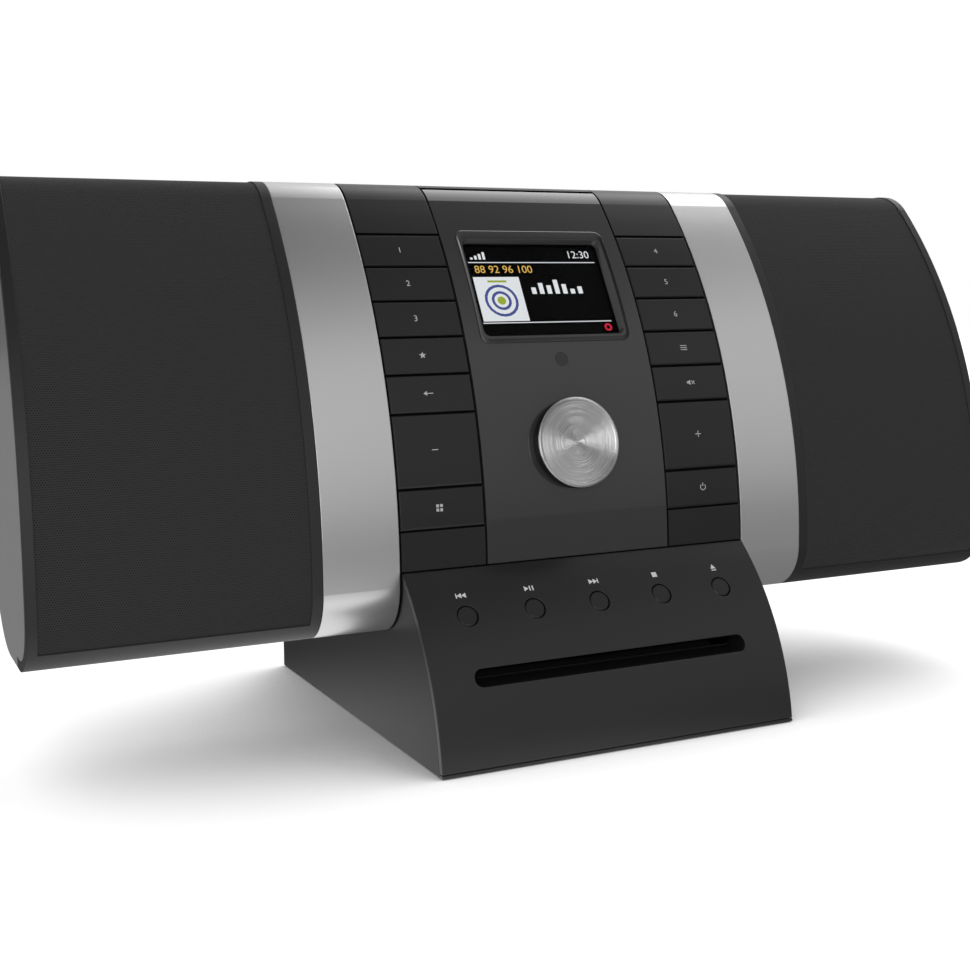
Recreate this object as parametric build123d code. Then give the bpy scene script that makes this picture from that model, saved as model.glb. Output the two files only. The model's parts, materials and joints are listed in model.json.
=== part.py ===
"""Mini hifi system: a curved centre unit between two speakers, on a slot-loading disc stand.

The row frame has X to the right, Y to the back and Z up, with its origin under the middle
of the object on the surface that it stands on. All sizes are in millimetres.
"""
from build123d import *
import os
from math import asin, cos, degrees, pi, radians, sin, sqrt, tan

os.makedirs("parts", exist_ok=True)

# ---------------------------------------------------------------- driving dimensions
# Body, seen from the side
overall_width = 445.0
overall_height = 230.0
body_underside = 46.0
belly_setback = 37.2       # the foremost line of the body, behind the stand's front edge
belly_height = 73.0
front_radius = 230.0
back_foot = 116.6          # where the back wall's plane meets the underside, from the same edge
back_lean = 18.0
toe_radius = 21.0
brow_radius = 22.0
crown_radius = 25.0
heel_radius = 45.0
wall = 2.5

# Body, seen from the front
centre_width = 162.2
fascia_width = 86.4
band_width = 31.6
seam = 0.9                 # the dark line between two panels

# Fits
seat_fit = 0.05            # between a panel and what it is seated on
running_fit = 0.05         # between a shaft and its bore, on the radius
hole_clearance = 0.4       # round a stem in its hole
stroke_clearance = 0.3     # left when a button or key is fully pressed

# Front deck, fascia and keys
deck_inset = 3.2
deck_thickness = 2.2
brow_seam_drop = 1.6       # from the top of the body down to the dark line over the fascia
key_ceiling_drop = 22.9    # from the same place down to the top keys
key_floor_rise = 16.3      # from the top of the stand up to the lowest keys
key_plain_rows = 6
volume_pitch = 29.6
key_cap = 2.0
key_stroke = 0.7
key_edge = 0.35            # the bevel round a key's face and at its two ends
key_lip = 0.5              # the bevel along its lower and upper edges
stem_width = 6.0
stem_height = 4.0
barb_reach = 1.2
barb_thickness = 1.2
switch_height = 4.3
switch_side = 6.0
control_board_depth = 11.8 # behind the panel's surface at the ends of the key stack
board_thickness = 1.6
control_board_margin = 7.0
post_radius = 3.0

# Display
display_offset = 37.6      # up the panel from the middle of the key stack
screen_width = 65.0
screen_height = 45.0
screen_depth = 3.5
screen_bevel = 2.0
screen_corner = 2.0
lens_lip = 0.4
lens_border = 1.5
lens_thickness = 1.2
lens_frame = 2.2
module_border = 5.0
module_thickness = 3.3
sensor_offset = 3.3
sensor_radius = 3.0

# Rotary knob, its encoder and push switch
knob_offset = -33.0
knob_radius = 18.9
knob_proud = 4.7
knob_gap = 0.9
knob_push = 0.5
knob_cap_border = 1.0      # the skirt's edge, which the face covers
knob_cap_lip = 0.5
knob_cap_thickness = 1.2
knob_rim_width = 1.9
knob_dish = 1.5
knob_hub_radius = 5.0
knob_hub_drop = 1.0
shaft_radius = 3.0
bushing_radius = 3.6
bushing_clearance = 1.2
encoder_side = 12.0
encoder_depth = 6.5
plunger_thickness = 0.8

# Speakers
grille_depth = 4.0
grille_foot = 64.0         # rear edge of the grille under the cabinet, from the stand's front edge
grille_crown = 142.0       # rear edge of the grille on top of the cabinet
grille_fit = 0.1
grille_outer_rim = 4.0
grille_inner_rim = 4.5
grille_end_rim = 6.0
cloth_foot = 54.7          # height of the cloth's lower edge
cloth_inset = 0.4
cloth_thickness = 0.6
grille_columns = 2
grille_rows = 3
grille_rib = 2.5
baffle_height = 140.0
baffle_margin = 3.5
baffle_thickness = 5.0
baffle_ledge = 4.0
driver_radius = 38.0
driver_flange = 2.5
driver_basket_radius = 33.0
driver_basket_depth = 22.0
driver_basket_wall = 1.6
driver_window_width = 18.0
magnet_radius = 24.0
magnet_thickness = 11.0
coil_radius = 9.0
coil_wall = 0.5
coil_gap = 0.3
cone_radius = 28.0
cone_depth = 11.0
cone_wall = 0.9
cone_stroke = 1.2
surround_width = 5.0
surround_height = 2.6

# Disc stand
stand_width = 160.8
stand_depth = 195.0
stand_height = 72.0
stand_front_radius = 110.0
stand_back_height = 40.0
stand_shelf_margin = 6.0
stand_lead = 1.0           # how far its top front edge stands ahead of the body's belly
stand_wall = 2.5
ground_gap = 0.5
plinth_height = 1.6
plinth_gap = 0.35
foot_radius = 8.0
foot_thickness = 2.0
foot_inset = 16.0
foot_setback = 25.6
front_post_setback = 17.0
rear_post_setback = 35.0
slot_width = 125.0
slot_height = 6.7
slot_centre = 34.25
slot_throat = 18.0         # rear end of the slot's guide, from the stand's front edge
slot_guide_wall = 1.8
seal_thickness = 1.5
seal_lip = 0.9

# Disc transport
disc_radius = 60.0
disc_setback = 84.0        # the turning axis, behind the stand's front edge
disc_room = 2.4            # half the height kept free for the disc
chassis_margin = 12.0
chassis_gap = 2.0          # behind the dust seal
sled_gap = 1.0             # behind the spindle motor
guide_rib_inset = 12.0     # from the disc's edge
chassis_thickness = 1.5
chassis_drop = 11.0
chassis_rise = 5.0
chassis_leg_radius = 4.0
roller_radius = 4.0
roller_taper = 0.6
roller_setback = 31.0
roller_shaft_radius = 1.5
turntable_radius = 14.0
turntable_thickness = 1.6
turntable_drop = 5.6
disc_hub_radius = 7.4
disc_hub_height = 2.4
motor_radius = 11.0
motor_height = 7.0
spindle_radius = 1.0
rail_radius = 1.5
rail_spacing = 27.0
sled_length = 15.0
sled_height = 7.0
sled_travel = 34.0
lens_radius = 2.5

# Disc buttons
button_height = 56.0
button_pitch = 29.65
button_radius = 4.2
button_gap = 0.35
button_cap = 4.0
button_flange = 1.0
button_flange_reach = 1.2
button_stroke = 0.8
button_edge = 0.4
button_board_width = 12.0
button_board_margin = 6.0

# Rear sockets and fasteners
inlet_offset = 46.0
antenna_offset = -46.0
socket_height = 20.0
inlet_radius = 3.2
inlet_pin_radius = 1.05
inlet_body = 11.0
inlet_length = 13.0
antenna_radius = 4.7
antenna_length = 11.0
antenna_bore = 3.9
antenna_pin_radius = 0.6
vent_width = 3.0
vent_length = 40.0
vent_pitch = 7.0
vent_count = 6
main_board_width = 120.0
main_board_height = 80.0
main_board_gap = 8.0
screw_radius = 1.5
screw_head_radius = 2.8
screw_head_height = 1.8
screw_length = 9.0
boss_radius = 4.0
cabinet_screw_rise = 20.0  # over the stand, for the two lower screws of a cabinet
cabinet_screw_spread = 52.0
cabinet_screw_drop = 32.0  # under the top of the body, for the upper one
cabinet_screw_setback = 30.0
peg_sides = 8              # of a moulded post, and of a screw and its hole
turned_sides = 24          # of a turned piece inside the object

# ---------------------------------------------------------------- derived frame
front = -stand_depth / 2                     # Y of the stand's front edge
arc_y = front + belly_setback + front_radius
arc_z = belly_height
half_centre = centre_width / 2
half_fascia = fascia_width / 2
half_width = overall_width / 2
half_stand = stand_width / 2
grille_start = half_centre + band_width
lean = radians(back_lean)
deck_back = deck_inset + deck_thickness
brow_seam_height = overall_height - brow_seam_drop
brow_rise = overall_height - brow_radius - arc_z
brow_y = arc_y - sqrt((front_radius - brow_radius) ** 2 - brow_rise ** 2)
brow_seam_y = brow_y - sqrt(brow_radius ** 2 - (brow_radius - brow_seam_drop) ** 2)
key_ceiling = overall_height - key_ceiling_drop
ceiling_angle = asin((key_ceiling - arc_z) / front_radius)
floor_angle = asin((stand_height + key_floor_rise - arc_z) / front_radius)
panel_angle = (ceiling_angle + floor_angle) / 2
stack_height = 2 * front_radius * sin((ceiling_angle - floor_angle) / 2)
key_pitch = (stack_height - volume_pitch) / key_plain_rows


def block(x, y, z):
    """A box between three pairs of limits."""
    size = Box(x[1] - x[0], y[1] - y[0], z[1] - z[0])
    return Pos((x[0] + x[1]) / 2, (y[0] + y[1]) / 2, (z[0] + z[1]) / 2) * size


def rod(radius, start, end):
    """A cylinder along Z between two heights."""
    return Pos(0, 0, (start + end) / 2) * Cylinder(radius, end - start)


def peg(radius, start, end, sides=peg_sides):
    """A many-sided pillar along Z between two heights."""
    return Pos(0, 0, start) * extrude(RegularPolygon(radius, sides), end - start)


def frustum(radii, heights, sides=turned_sides):
    """A many-sided cone along Z between two heights."""
    turns = [2 * pi * side / sides for side in range(sides)]
    low, high = [[(radius * cos(turn), radius * sin(turn), height) for turn in turns]
                 for radius, height in zip(radii, heights)]
    walls = [(low[k - 1], low[k], high[k], high[k - 1]) for k in range(sides)]
    return Solid(Shell([Face(Wire.make_polygon(corners)) for corners in (low, high, *walls)]))


def vent():
    """The outline of one cooling slot, with its corners cut."""
    return chamfer(Rectangle(vent_length, vent_width).vertices(), vent_width / 3)


def front_y(z, inset=0.0):
    """Y of the front arc at a height."""
    return arc_y - sqrt((front_radius - inset) ** 2 - (z - arc_z) ** 2)


def back_y(z, inset=0.0):
    """Y of the leaning back wall at a height."""
    return front + back_foot + (z - body_underside) * tan(lean) - inset / cos(lean)


def outline(inset=0.0):
    """The body's side outline, evenly inset, as a face at X = 0."""
    low = body_underside + inset
    high = overall_height - inset
    toe = (front_y(low, inset), low)
    brow = (front_y(high, inset), high)
    crown = (back_y(high, inset), high)
    heel = (back_y(low, inset), low)
    middle = (low + high) / 2
    edges = ThreePointArc(toe, (front_y(middle, inset), middle), brow)
    edges += Polyline(brow, crown, heel, toe)
    face = Plane.YZ * make_face(edges.edges())
    radii = {toe: toe_radius, brow: brow_radius, crown: crown_radius, heel: heel_radius}
    for corner, radius in radii.items():
        point = Vector(0, *corner)
        nearest = face.vertices().sort_by_distance(point)[0]
        face = fillet(nearest, radius - inset)
    return face


def slab(face, x):
    """A face at X = 0 drawn out between two limits of X."""
    return Pos(x[0], 0, 0) * extrude(face, x[1] - x[0], dir=(1, 0, 0))


def ring_wall(radius, depth, length):
    """A tube about X between two depths under a radius."""
    tube = Cylinder(radius - depth[0], length) - Cylinder(radius - depth[1], length)
    return Rot(0, 90, 0) * Rot(0, 0, 90) * tube


def ahead_of(foot, crown, shift=0.0):
    """Everything ahead of a slanted plane through two points of the side view."""
    slope = (crown[0] - foot[0]) / (crown[1] - foot[1])
    low, high = -overall_height, 2 * overall_height
    edge = [(foot[0] + (z - foot[1]) * slope - shift, z) for z in (low, high)]
    outer = [(front - overall_height, high), (front - overall_height, low)]
    face = Plane.YZ * make_face(Polyline(*edge, *outer, edge[0]).edges())
    return slab(face, (-half_width, half_width))


def skin(x, depth):
    """The layer of the body between two depths under its outline."""
    return slab(outline(depth[0]), x) - slab(outline(depth[1]), x)


def front_band(x, z, depth):
    """The front part of such a layer, between two heights, up to the top of the brow's bend."""
    middle = [((front_y(z_mid) + back_y(z_mid)) / 2, z_mid) for z_mid in (body_underside, overall_height)]
    return skin(x, depth) & ahead_of(*middle) & block(x, (front, brow_y), z)


def arc_frame(offset=0.0):
    """A frame on the arc's axis: X across, Y up the surface, Z out through the surface."""
    angle = panel_angle + asin(offset / front_radius)
    return Plane((0, arc_y, arc_z), x_dir=(1, 0, 0), z_dir=(0, -cos(angle), sin(angle))).location


def arc_height(v, depth=0.0):
    """Height over the arc's axis of the surface at an offset, in the panel's frame."""
    return sqrt((front_radius - depth) ** 2 - v ** 2)


def join(shape, *others):
    """One solid made of several that meet."""
    for other in others:
        shape = shape + other
    return shape


def save(name, *solids):
    """Write one node, which may be a group of separate solids."""
    shape = solids[0] if len(solids) == 1 else Compound(children=[s for s in solids])
    shape.label = name
    export_step(shape, f"parts/{name}.step")


panel = arc_frame()

# ---------------------------------------------------------------- keys
key_rows = {}
row_top = stack_height / 2
for row, pitch in enumerate([key_pitch] * (key_plain_rows - 1) + [volume_pitch, key_pitch]):
    key_rows[row] = (row_top - pitch, row_top)
    row_top -= pitch

left_keys = ["key_1", "key_2", "key_3", "key_preset", "key_back", "key_volume_down", "key_mode"]
right_keys = ["key_4", "key_5", "key_6", "key_menu", "key_mute", "key_volume_up", "key_power"]
key_middle = (half_fascia + half_centre) / 2
control_board_top = arc_height(stack_height / 2) - control_board_depth
switch_top = control_board_top + switch_height
stem_end = switch_top + key_stroke + stroke_clearance


def key_span(row):
    """Limits of a key cap up the panel."""
    low, high = key_rows[row]
    return low + seam / 2, high - seam / 2


def column_span(side):
    """Limits of a key column across the panel."""
    near = side * (half_fascia + seam / 2)
    far = side * (half_centre - seam)
    return min(near, far), max(near, far)


def key_tile(x, v):
    """A curved cap with bevelled edges, between limits across and up the panel."""
    e = key_edge
    low, top = front_radius - key_cap, front_radius
    section = Polyline((x[0], low), (x[1], low), (x[1], top - e), (x[1] - e, top),
                       (x[0] + e, top), (x[0], top - e), (x[0], low))
    ring = revolve(make_face(section.edges()), Axis.X)
    h = (arc_height(v[0]), arc_height(v[1]))
    lip = key_lip
    sides = Polyline((v[0], 0), (v[1], 0), (v[1], h[1] - lip), (v[1] - 2 * lip, h[1] + lip),
                     (v[1] - 2 * lip, top + 1), (v[0] + 2 * lip, top + 1),
                     (v[0] + 2 * lip, h[0] + lip), (v[0], h[0] - lip), (v[0], 0))
    return ring & slab(Plane.YZ * make_face(sides.edges()), x)


def key(side, row):
    """A key: a curved cap, a stem through the deck and barbs behind the deck."""
    low, high = key_span(row)
    x = column_span(side)
    cap = key_tile(x, (low, high))
    middle = (low + high) / 2
    centre = side * key_middle
    top = arc_height(middle, key_cap) + key_cap / 4
    across = (centre - stem_width / 2, centre + stem_width / 2)
    along = (middle - stem_height / 2, middle + stem_height / 2)
    stem = block(across, along, (stem_end, top))
    farthest = max(abs(along[0]), abs(along[1]))
    barb_top = arc_height(farthest, deck_back) - stroke_clearance
    wide = (across[0] - barb_reach, across[1] + barb_reach)
    barb = block(wide, along, (barb_top - barb_thickness, barb_top))
    return panel * join(cap, stem, barb)


for side, names in ((-1, left_keys), (1, right_keys)):
    for row, name in enumerate(names):
        save(name, key(side, row))


def key_trim(side, upper):
    """A fixed blank panel that closes a key column above or below its keys."""
    x = column_span(side)
    depth = (0, deck_inset - seat_fit)
    reach = 2 * overall_height
    if upper:
        start = key_rows[0][1] + seam / 2
        keep = block(x, (front, trim_back - seam), (stand_height, reach))
        return skin(x, depth) & (panel * block(x, (start, reach), (0, reach))) & keep
    end = key_rows[len(key_rows) - 1][0] - seam / 2
    low = stand_height + seam / 2
    return front_band(x, (low, key_ceiling), depth) & (panel * block(x, (-reach, end), (0, reach)))


trim_back = front_y(overall_height) + brow_radius
save("key_trims", *[key_trim(side, upper) for side in (-1, 1) for upper in (True, False)])

# ---------------------------------------------------------------- centre unit
display = arc_frame(display_offset)
knob = arc_frame(knob_offset)
sensor = arc_frame(sensor_offset)
screen_top = front_radius - screen_depth          # front face of the lens, over the arc's axis
lens_back = screen_top - lens_thickness
module_size = (screen_width + 2 * module_border, screen_height + 2 * module_border)
module_front = min(lens_back, arc_height(module_size[1] / 2, deck_inset)) - seat_fit


def rounded_plate(width, height, radius, low, high, taper=0.0):
    """A rounded rectangular plate along Z between two heights."""
    return Pos(0, 0, low) * extrude(RectangleRounded(width, height, radius), high - low, taper=taper)


def display_fascia():
    """The glossy panel between the key columns, with a framed recess for the lens."""
    x = (-half_fascia + seam / 2, half_fascia - seam / 2)
    z = (stand_height + seam / 2, brow_seam_height - seam)
    face = front_band(x, z, (0, deck_inset - seat_fit)) & block(x, (front, brow_seam_y), z)
    border = 2 * (lens_border + lens_frame)
    frame = rounded_plate(screen_width + border, screen_height + border, screen_corner,
                          lens_back, front_radius - deck_inset / 2)
    slope = degrees(asin(screen_bevel / sqrt(screen_bevel ** 2 + screen_depth ** 2)))
    bevel = rounded_plate(screen_width, screen_height, screen_corner, screen_top + lens_lip,
                          front_radius + 2 * screen_bevel, -slope)
    lip = rounded_plate(screen_width, screen_height, screen_corner, lens_back - 1, front_radius)
    pocket = rounded_plate(screen_width + 2 * lens_border, screen_height + 2 * lens_border,
                           screen_corner, lens_back - 1, screen_top)
    face = face + display * frame - display * join(bevel, lip, pocket)
    face -= knob * rod(knob_hub_radius + bushing_clearance, front_radius / 2, 2 * front_radius)
    return face - sensor * rod(sensor_radius + seat_fit, front_radius / 2, 2 * front_radius)


def display_window():
    """The clear lens, bonded behind the fascia's lip."""
    border = 2 * (lens_border - seat_fit)
    return display * rounded_plate(screen_width + border, screen_height + border, screen_corner,
                                   lens_back, screen_top)


def display_module():
    """The colour display behind the lens, with its flat cable's connector."""
    back = module_front - module_thickness
    glass = rounded_plate(*module_size, screen_corner / 2, back, module_front)
    connector = block((-module_border * 2, module_border * 2),
                      (-module_size[1] / 2 + module_border, -module_size[1] / 2 + 2 * module_border),
                      (back - module_thickness / 2, back))
    return display * (glass + connector)


def front_deck():
    """The curved frame behind the fascia and keys, which guides the keys' stems."""
    x = (-half_centre, half_centre)
    deck = front_band(x, (stand_height, brow_seam_height), (deck_inset, deck_back))
    for side in (-1, 1):
        for low, high in key_rows.values():
            middle = (low + high) / 2
            centre = side * key_middle
            reach = stem_width / 2 + hole_clearance
            rise = stem_height / 2 + hole_clearance
            hole = block((centre - reach, centre + reach), (middle - rise, middle + rise),
                         (front_radius / 2, 2 * front_radius))
            deck -= panel * hole
    room = 2 * hole_clearance
    reach, rise = module_size[0] / 2 + room, module_size[1] / 2 + room
    deck -= display * block((-reach, reach), (-rise, rise), (front_radius / 2, 2 * front_radius))
    deck -= knob * rod(bushing_radius + running_fit, front_radius / 2, 2 * front_radius)
    for x_post, v_post in board_posts:
        top = arc_height(v_post, deck_back - deck_thickness / 2)
        post = Pos(x_post, v_post, 0) * peg(post_radius, control_board_top, top)
        pilot = Pos(x_post, v_post, 0) * peg(screw_radius, control_board_top,
                                             control_board_top + screw_length)
        deck = deck + panel * post - panel * pilot
    return deck


board_half = (half_centre - wall - control_board_margin, stack_height / 2)
post_x = key_middle - stem_width / 2 - barb_reach - post_radius - hole_clearance
board_posts = [(sx * post_x, sv * (board_half[1] - 2 * post_radius)) for sx in (-1, 1) for sv in (-1, 1)]


def control_board():
    """The flat board behind the deck, with one switch in line with each key's stem."""
    back = control_board_top - board_thickness
    board = block((-board_half[0], board_half[0]), (-board_half[1], board_half[1]),
                  (back, control_board_top))
    for x_post, v_post in board_posts:
        board -= Pos(x_post, v_post, 0) * peg(screw_radius + running_fit, back - 1, control_board_top + 1)
    for side in (-1, 1):
        for low, high in key_rows.values():
            middle = (low + high) / 2
            base = Pos(side * key_middle, middle, 0)
            half = switch_side / 2
            body = block((-half, half), (-half, half), (control_board_top, switch_top - switch_height / 4))
            button = peg(switch_side / 4, control_board_top, switch_top)
            board += base * join(body, button)
    return panel * board


def centre_shell():
    """The moulded rear housing: sides, top, back and floor, open at the front."""
    x = (-half_centre, half_centre)
    x_in = (-half_centre + wall, half_centre - wall)
    reach = 2 * overall_height
    above = block(x, (front, reach), (stand_height, reach))
    above_floor = block(x, (front, reach), (stand_height + wall, reach))
    shell = slab(outline(), x) & above
    rear_room = block(x, (trim_back + wall, reach), (0, reach))
    cavity = slab(outline(wall), x_in) & above_floor & rear_room
    cavity += slab(outline(deck_back), x_in) & above_floor
    shell -= cavity
    shell -= front_band(x, (stand_height, brow_seam_height), (0, deck_back))
    for side in (-1, 1):
        rim = sorted((side * half_fascia, side * half_centre))
        shell -= skin(rim, (0, deck_inset)) & block(rim, (front, trim_back), (key_ceiling, reach))
    shell -= rear_vents()
    for x_boss, v_boss in main_posts:
        post = Pos(x_boss, v_boss, 0) * peg(post_radius, -wall - main_board_gap, -wall / 2)
        pilot = Pos(x_boss, v_boss, 0) * peg(screw_radius, -wall - main_board_gap, -wall)
        shell = shell + back_frame * post - back_frame * pilot
    for x_boss, y_boss in stand_screws:
        boss = Pos(x_boss, y_boss, 0) * peg(boss_radius, stand_height + wall / 2,
                                            stand_height + screw_length)
        pilot = Pos(x_boss, y_boss, 0) * peg(screw_radius, stand_height, stand_height + screw_length - wall)
        shell = shell + boss - pilot
    for y_boss, z_boss in cabinet_screws:
        across = Pos(0, y_boss, z_boss) * Rot(0, 90, 0)
        shell -= across * peg(screw_radius + running_fit, -centre_width, centre_width)
    return shell - cable_way


def rear_vents():
    """Rows of slots through the back wall, over the amplifier."""
    vents = []
    for row in range(vent_count):
        height = (row - (vent_count - 1) / 2) * vent_pitch
        for side in (-1, 1):
            vents.append(back_frame * Pos(side * (vent_length / 2 + vent_width), height, -2 * wall)
                         * extrude(vent(), 3 * wall))
    return Compound(children=vents)


back_middle = (stand_height + overall_height) / 2
back_frame = Plane((0, back_y(back_middle), back_middle), x_dir=(-1, 0, 0),
                   z_dir=(0, cos(lean), -sin(lean))).location
main_posts = [(sx * (main_board_width / 2 - 2 * post_radius), sv * (main_board_height / 2 - 2 * post_radius))
              for sx in (-1, 1) for sv in (-1, 1)]
seat_depth = (front_y(stand_height, deck_back), back_y(stand_height, wall))
stand_screws = [(sx * (half_centre / 2), seat_depth[0] + share * (seat_depth[1] - seat_depth[0]))
                for sx in (-1, 1) for share in (0.25, 0.75)]
cabinet_screw_heights = (stand_height + cabinet_screw_rise, overall_height - cabinet_screw_drop)
cabinet_screws = [(front_y(z_screw) + boss_radius + deck_back + wall + screw_head_radius + setback, z_screw)
                  for z_screw, setback in ((cabinet_screw_heights[0], 0),
                                           (cabinet_screw_heights[0], cabinet_screw_spread),
                                           (cabinet_screw_heights[1], cabinet_screw_setback))]
cable_middle = (seat_depth[0] + seat_depth[1]) / 2
cable_way = Pos(0, cable_middle, stand_height) * peg(2 * boss_radius, -2 * wall, 2 * wall)


def main_board():
    """The radio and amplifier board on the back wall, with its heat sink and capacitors."""
    top = -wall - main_board_gap
    board = block((-main_board_width / 2, main_board_width / 2),
                  (-main_board_height / 2, main_board_height / 2), (top - board_thickness, top))
    for x_post, v_post in main_posts:
        board -= Pos(x_post, v_post, 0) * peg(screw_radius + running_fit, top - 2 * board_thickness, top + 1)
    fin_base = top - board_thickness
    fin_half = vent_length / 2
    sink = block((-fin_half, fin_half), (0, main_board_height / 4), (fin_base - wall, fin_base))
    for fin in range(vent_count):
        x_fin = -fin_half + fin * (vent_length - wall / 2) / (vent_count - 1)
        sink += block((x_fin, x_fin + wall / 2), (0, main_board_height / 4),
                      (fin_base - main_board_gap - wall, fin_base - wall))
    cells = [Pos(x_cell, -main_board_height / 4, 0) * peg(boss_radius, fin_base - 2 * main_board_gap, fin_base)
             for x_cell in (-3 * boss_radius, 0, 3 * boss_radius)]
    return back_frame * join(board, sink, *cells)


def ir_window():
    """The dark window over the remote control's receiver."""
    head = rod(sensor_radius, front_radius - deck_inset + seat_fit, front_radius)
    return sensor * head


save("display_fascia", display_fascia())
save("display_window", display_window())
save("display_module", display_module())
save("front_deck", front_deck())
save("control_board", control_board())
save("centre_shell", centre_shell())
save("main_board", main_board())
save("ir_window", ir_window())

# ---------------------------------------------------------------- knob and encoder
knob_base = front_radius + knob_gap
knob_rim = front_radius + knob_proud
hub_end = front_radius - knob_hub_drop
encoder_top = front_radius - deck_back - stroke_clearance / 2
encoder_back = encoder_top - encoder_depth
bushing_end = hub_end - knob_push - stroke_clearance * 2
shaft_end = encoder_back + encoder_depth / 3 + plunger_thickness
cap_radius = knob_radius - knob_cap_border


def knob_skirt():
    """The knob's dark body, with a hub on the shaft and a seat for the metal face."""
    floor = knob_rim - knob_cap_thickness - knob_dish
    skirt = rod(knob_radius, knob_base, knob_rim - knob_cap_lip)
    skirt -= rod(cap_radius + seat_fit, floor, knob_rim)
    skirt += peg(knob_hub_radius, hub_end, floor, turned_sides)
    return knob * (skirt - rod(shaft_radius + seat_fit / 2, hub_end - 1, floor - wall / 4))


def knob_cap():
    """The spun aluminium face: a raised bright rim round a shallow cone."""
    base = knob_rim - knob_cap_thickness - knob_dish + seat_fit
    lip = knob_rim - knob_cap_lip + seat_fit
    profile = Polyline((0, base), (cap_radius, base), (cap_radius, lip), (knob_radius, lip),
                       (knob_radius, knob_rim), (knob_radius - knob_rim_width / 3, knob_rim + key_edge),
                       (knob_radius - knob_rim_width, knob_rim - key_edge / 2),
                       (0, knob_rim - knob_dish), (0, base))
    return knob * revolve(Plane.XZ * make_face(profile.edges()), Axis.Z)


def knob_shaft():
    """The encoder's shaft, with the flat that drives the knob."""
    top = knob_rim - knob_cap_thickness - knob_dish - wall / 4 - seat_fit
    return knob * rod(shaft_radius, shaft_end, top)


def encoder():
    """The rotary encoder under the deck, with its bushing through the deck."""
    half = encoder_side / 2
    body = block((-half, half), (-half, half), (encoder_back, encoder_top))
    body += rod(bushing_radius, encoder_top - 1, bushing_end)
    body -= rod(shaft_radius + running_fit, encoder_back + encoder_depth / 3, bushing_end + 1)
    room = shaft_radius + 2 * stroke_clearance + hole_clearance
    floor = shaft_end - plunger_thickness - seat_fit - knob_push - stroke_clearance
    return knob * (body - peg(room, floor, shaft_end, turned_sides))


def encoder_plunger():
    """The push switch's actuator, under the end of the shaft."""
    top = shaft_end - seat_fit
    return knob * peg(shaft_radius + stroke_clearance, top - plunger_thickness, top, turned_sides)


save("knob_skirt", knob_skirt())
save("knob_cap", knob_cap())
save("knob_shaft", knob_shaft())
save("encoder", encoder())
save("encoder_plunger", encoder_plunger())

# ---------------------------------------------------------------- speakers
grille_edge = [(front + grille_foot, body_underside), (front + grille_crown, overall_height)]


baffle_x = (grille_start + baffle_margin, half_width - grille_depth - baffle_margin)
baffle_top = arc_height(baffle_height / 2, grille_depth) - hole_clearance
baffle_back = baffle_top - baffle_thickness
driver_x = (baffle_x[0] + baffle_x[1]) / 2


def speaker_cabinet():
    """The one-piece silver cabinet, with the hollow band beside the centre unit."""
    x = (half_centre, half_width)
    grille_room = skin((grille_start, half_width), (0, grille_depth)) & ahead_of(*grille_edge)
    cabinet = slab(outline(), x) - grille_room
    inner = slab(outline(wall), (half_centre - 1, grille_start - wall))
    inner += (slab(outline(wall), (grille_start, half_width - wall))
              & (panel * block((0, half_width), (-2 * overall_height, 2 * overall_height),
                               (-2 * overall_height, baffle_back - wall))))
    cabinet -= inner
    half = baffle_height / 2
    rebate = block((baffle_x[0] - seat_fit, baffle_x[1] + seat_fit), (-half - seat_fit, half + seat_fit),
                   (baffle_back, 2 * front_radius))
    hole = block((baffle_x[0] + baffle_ledge, baffle_x[1] - baffle_ledge),
                 (-half + baffle_ledge, half - baffle_ledge), (baffle_back - 2 * wall, 2 * front_radius))
    cabinet -= panel * join(rebate, hole)
    for y_boss, z_boss in cabinet_screws:
        axis = Pos(half_centre, y_boss, z_boss) * Rot(0, 90, 0)
        cabinet += axis * peg(boss_radius, 0, screw_length)
        cabinet += block((half_centre, grille_start - wall / 2), (y_boss - wall / 2, y_boss + wall / 2),
                         (z_boss - boss_radius, z_boss + boss_radius)) & slab(outline(wall), x)
        cabinet -= axis * peg(screw_radius, -1, screw_length)
    return cabinet


def cloth_room(depth):
    """The part of the grille's layer that the cloth covers, between two depths."""
    x = (grille_start + grille_inner_rim, half_width - grille_outer_rim)
    high = block(x, (front, 2 * overall_height), (cloth_foot, 2 * overall_height))
    return skin(x, depth) & ahead_of(*grille_edge, grille_end_rim) & high


def grille_frame():
    """The grille's moulded frame: a rim round a recessed lattice that carries the cloth."""
    x = (grille_start + grille_fit, half_width)
    frame = skin(x, (0, grille_depth - grille_fit)) & ahead_of(*grille_edge, grille_fit)
    frame -= cloth_room((0, cloth_inset + cloth_thickness + seat_fit))
    x_cloth = (grille_start + grille_inner_rim + grille_rib, half_width - grille_outer_rim - grille_rib)
    pitch = (x_cloth[1] - x_cloth[0] + grille_rib) / grille_columns
    half = baffle_height / 2
    rise = (2 * half + grille_rib) / grille_rows
    for column in range(grille_columns):
        for row in range(grille_rows):
            left = x_cloth[0] + column * pitch
            low = -half + row * rise
            window = block((left, left + pitch - grille_rib), (low, low + rise - grille_rib),
                           (baffle_back, 2 * front_radius))
            frame -= panel * window
    return frame


def baffle():
    """The flat board that carries the driver."""
    half = baffle_height / 2
    board = block(baffle_x, (-half, half), (baffle_back, baffle_top))
    cut = Pos(driver_x, 0, 0) * peg(driver_basket_radius + hole_clearance, baffle_back - 1, baffle_top + 1,
                                    turned_sides)
    return panel * (board - cut)


driver_seat = Pos(driver_x, 0, baffle_top)
basket_floor = driver_flange - driver_basket_depth
cone_edge = driver_flange / 2
coil_top = cone_edge - cone_depth
magnet_back = basket_floor - magnet_thickness
coil_floor = magnet_back + magnet_thickness / 4


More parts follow.
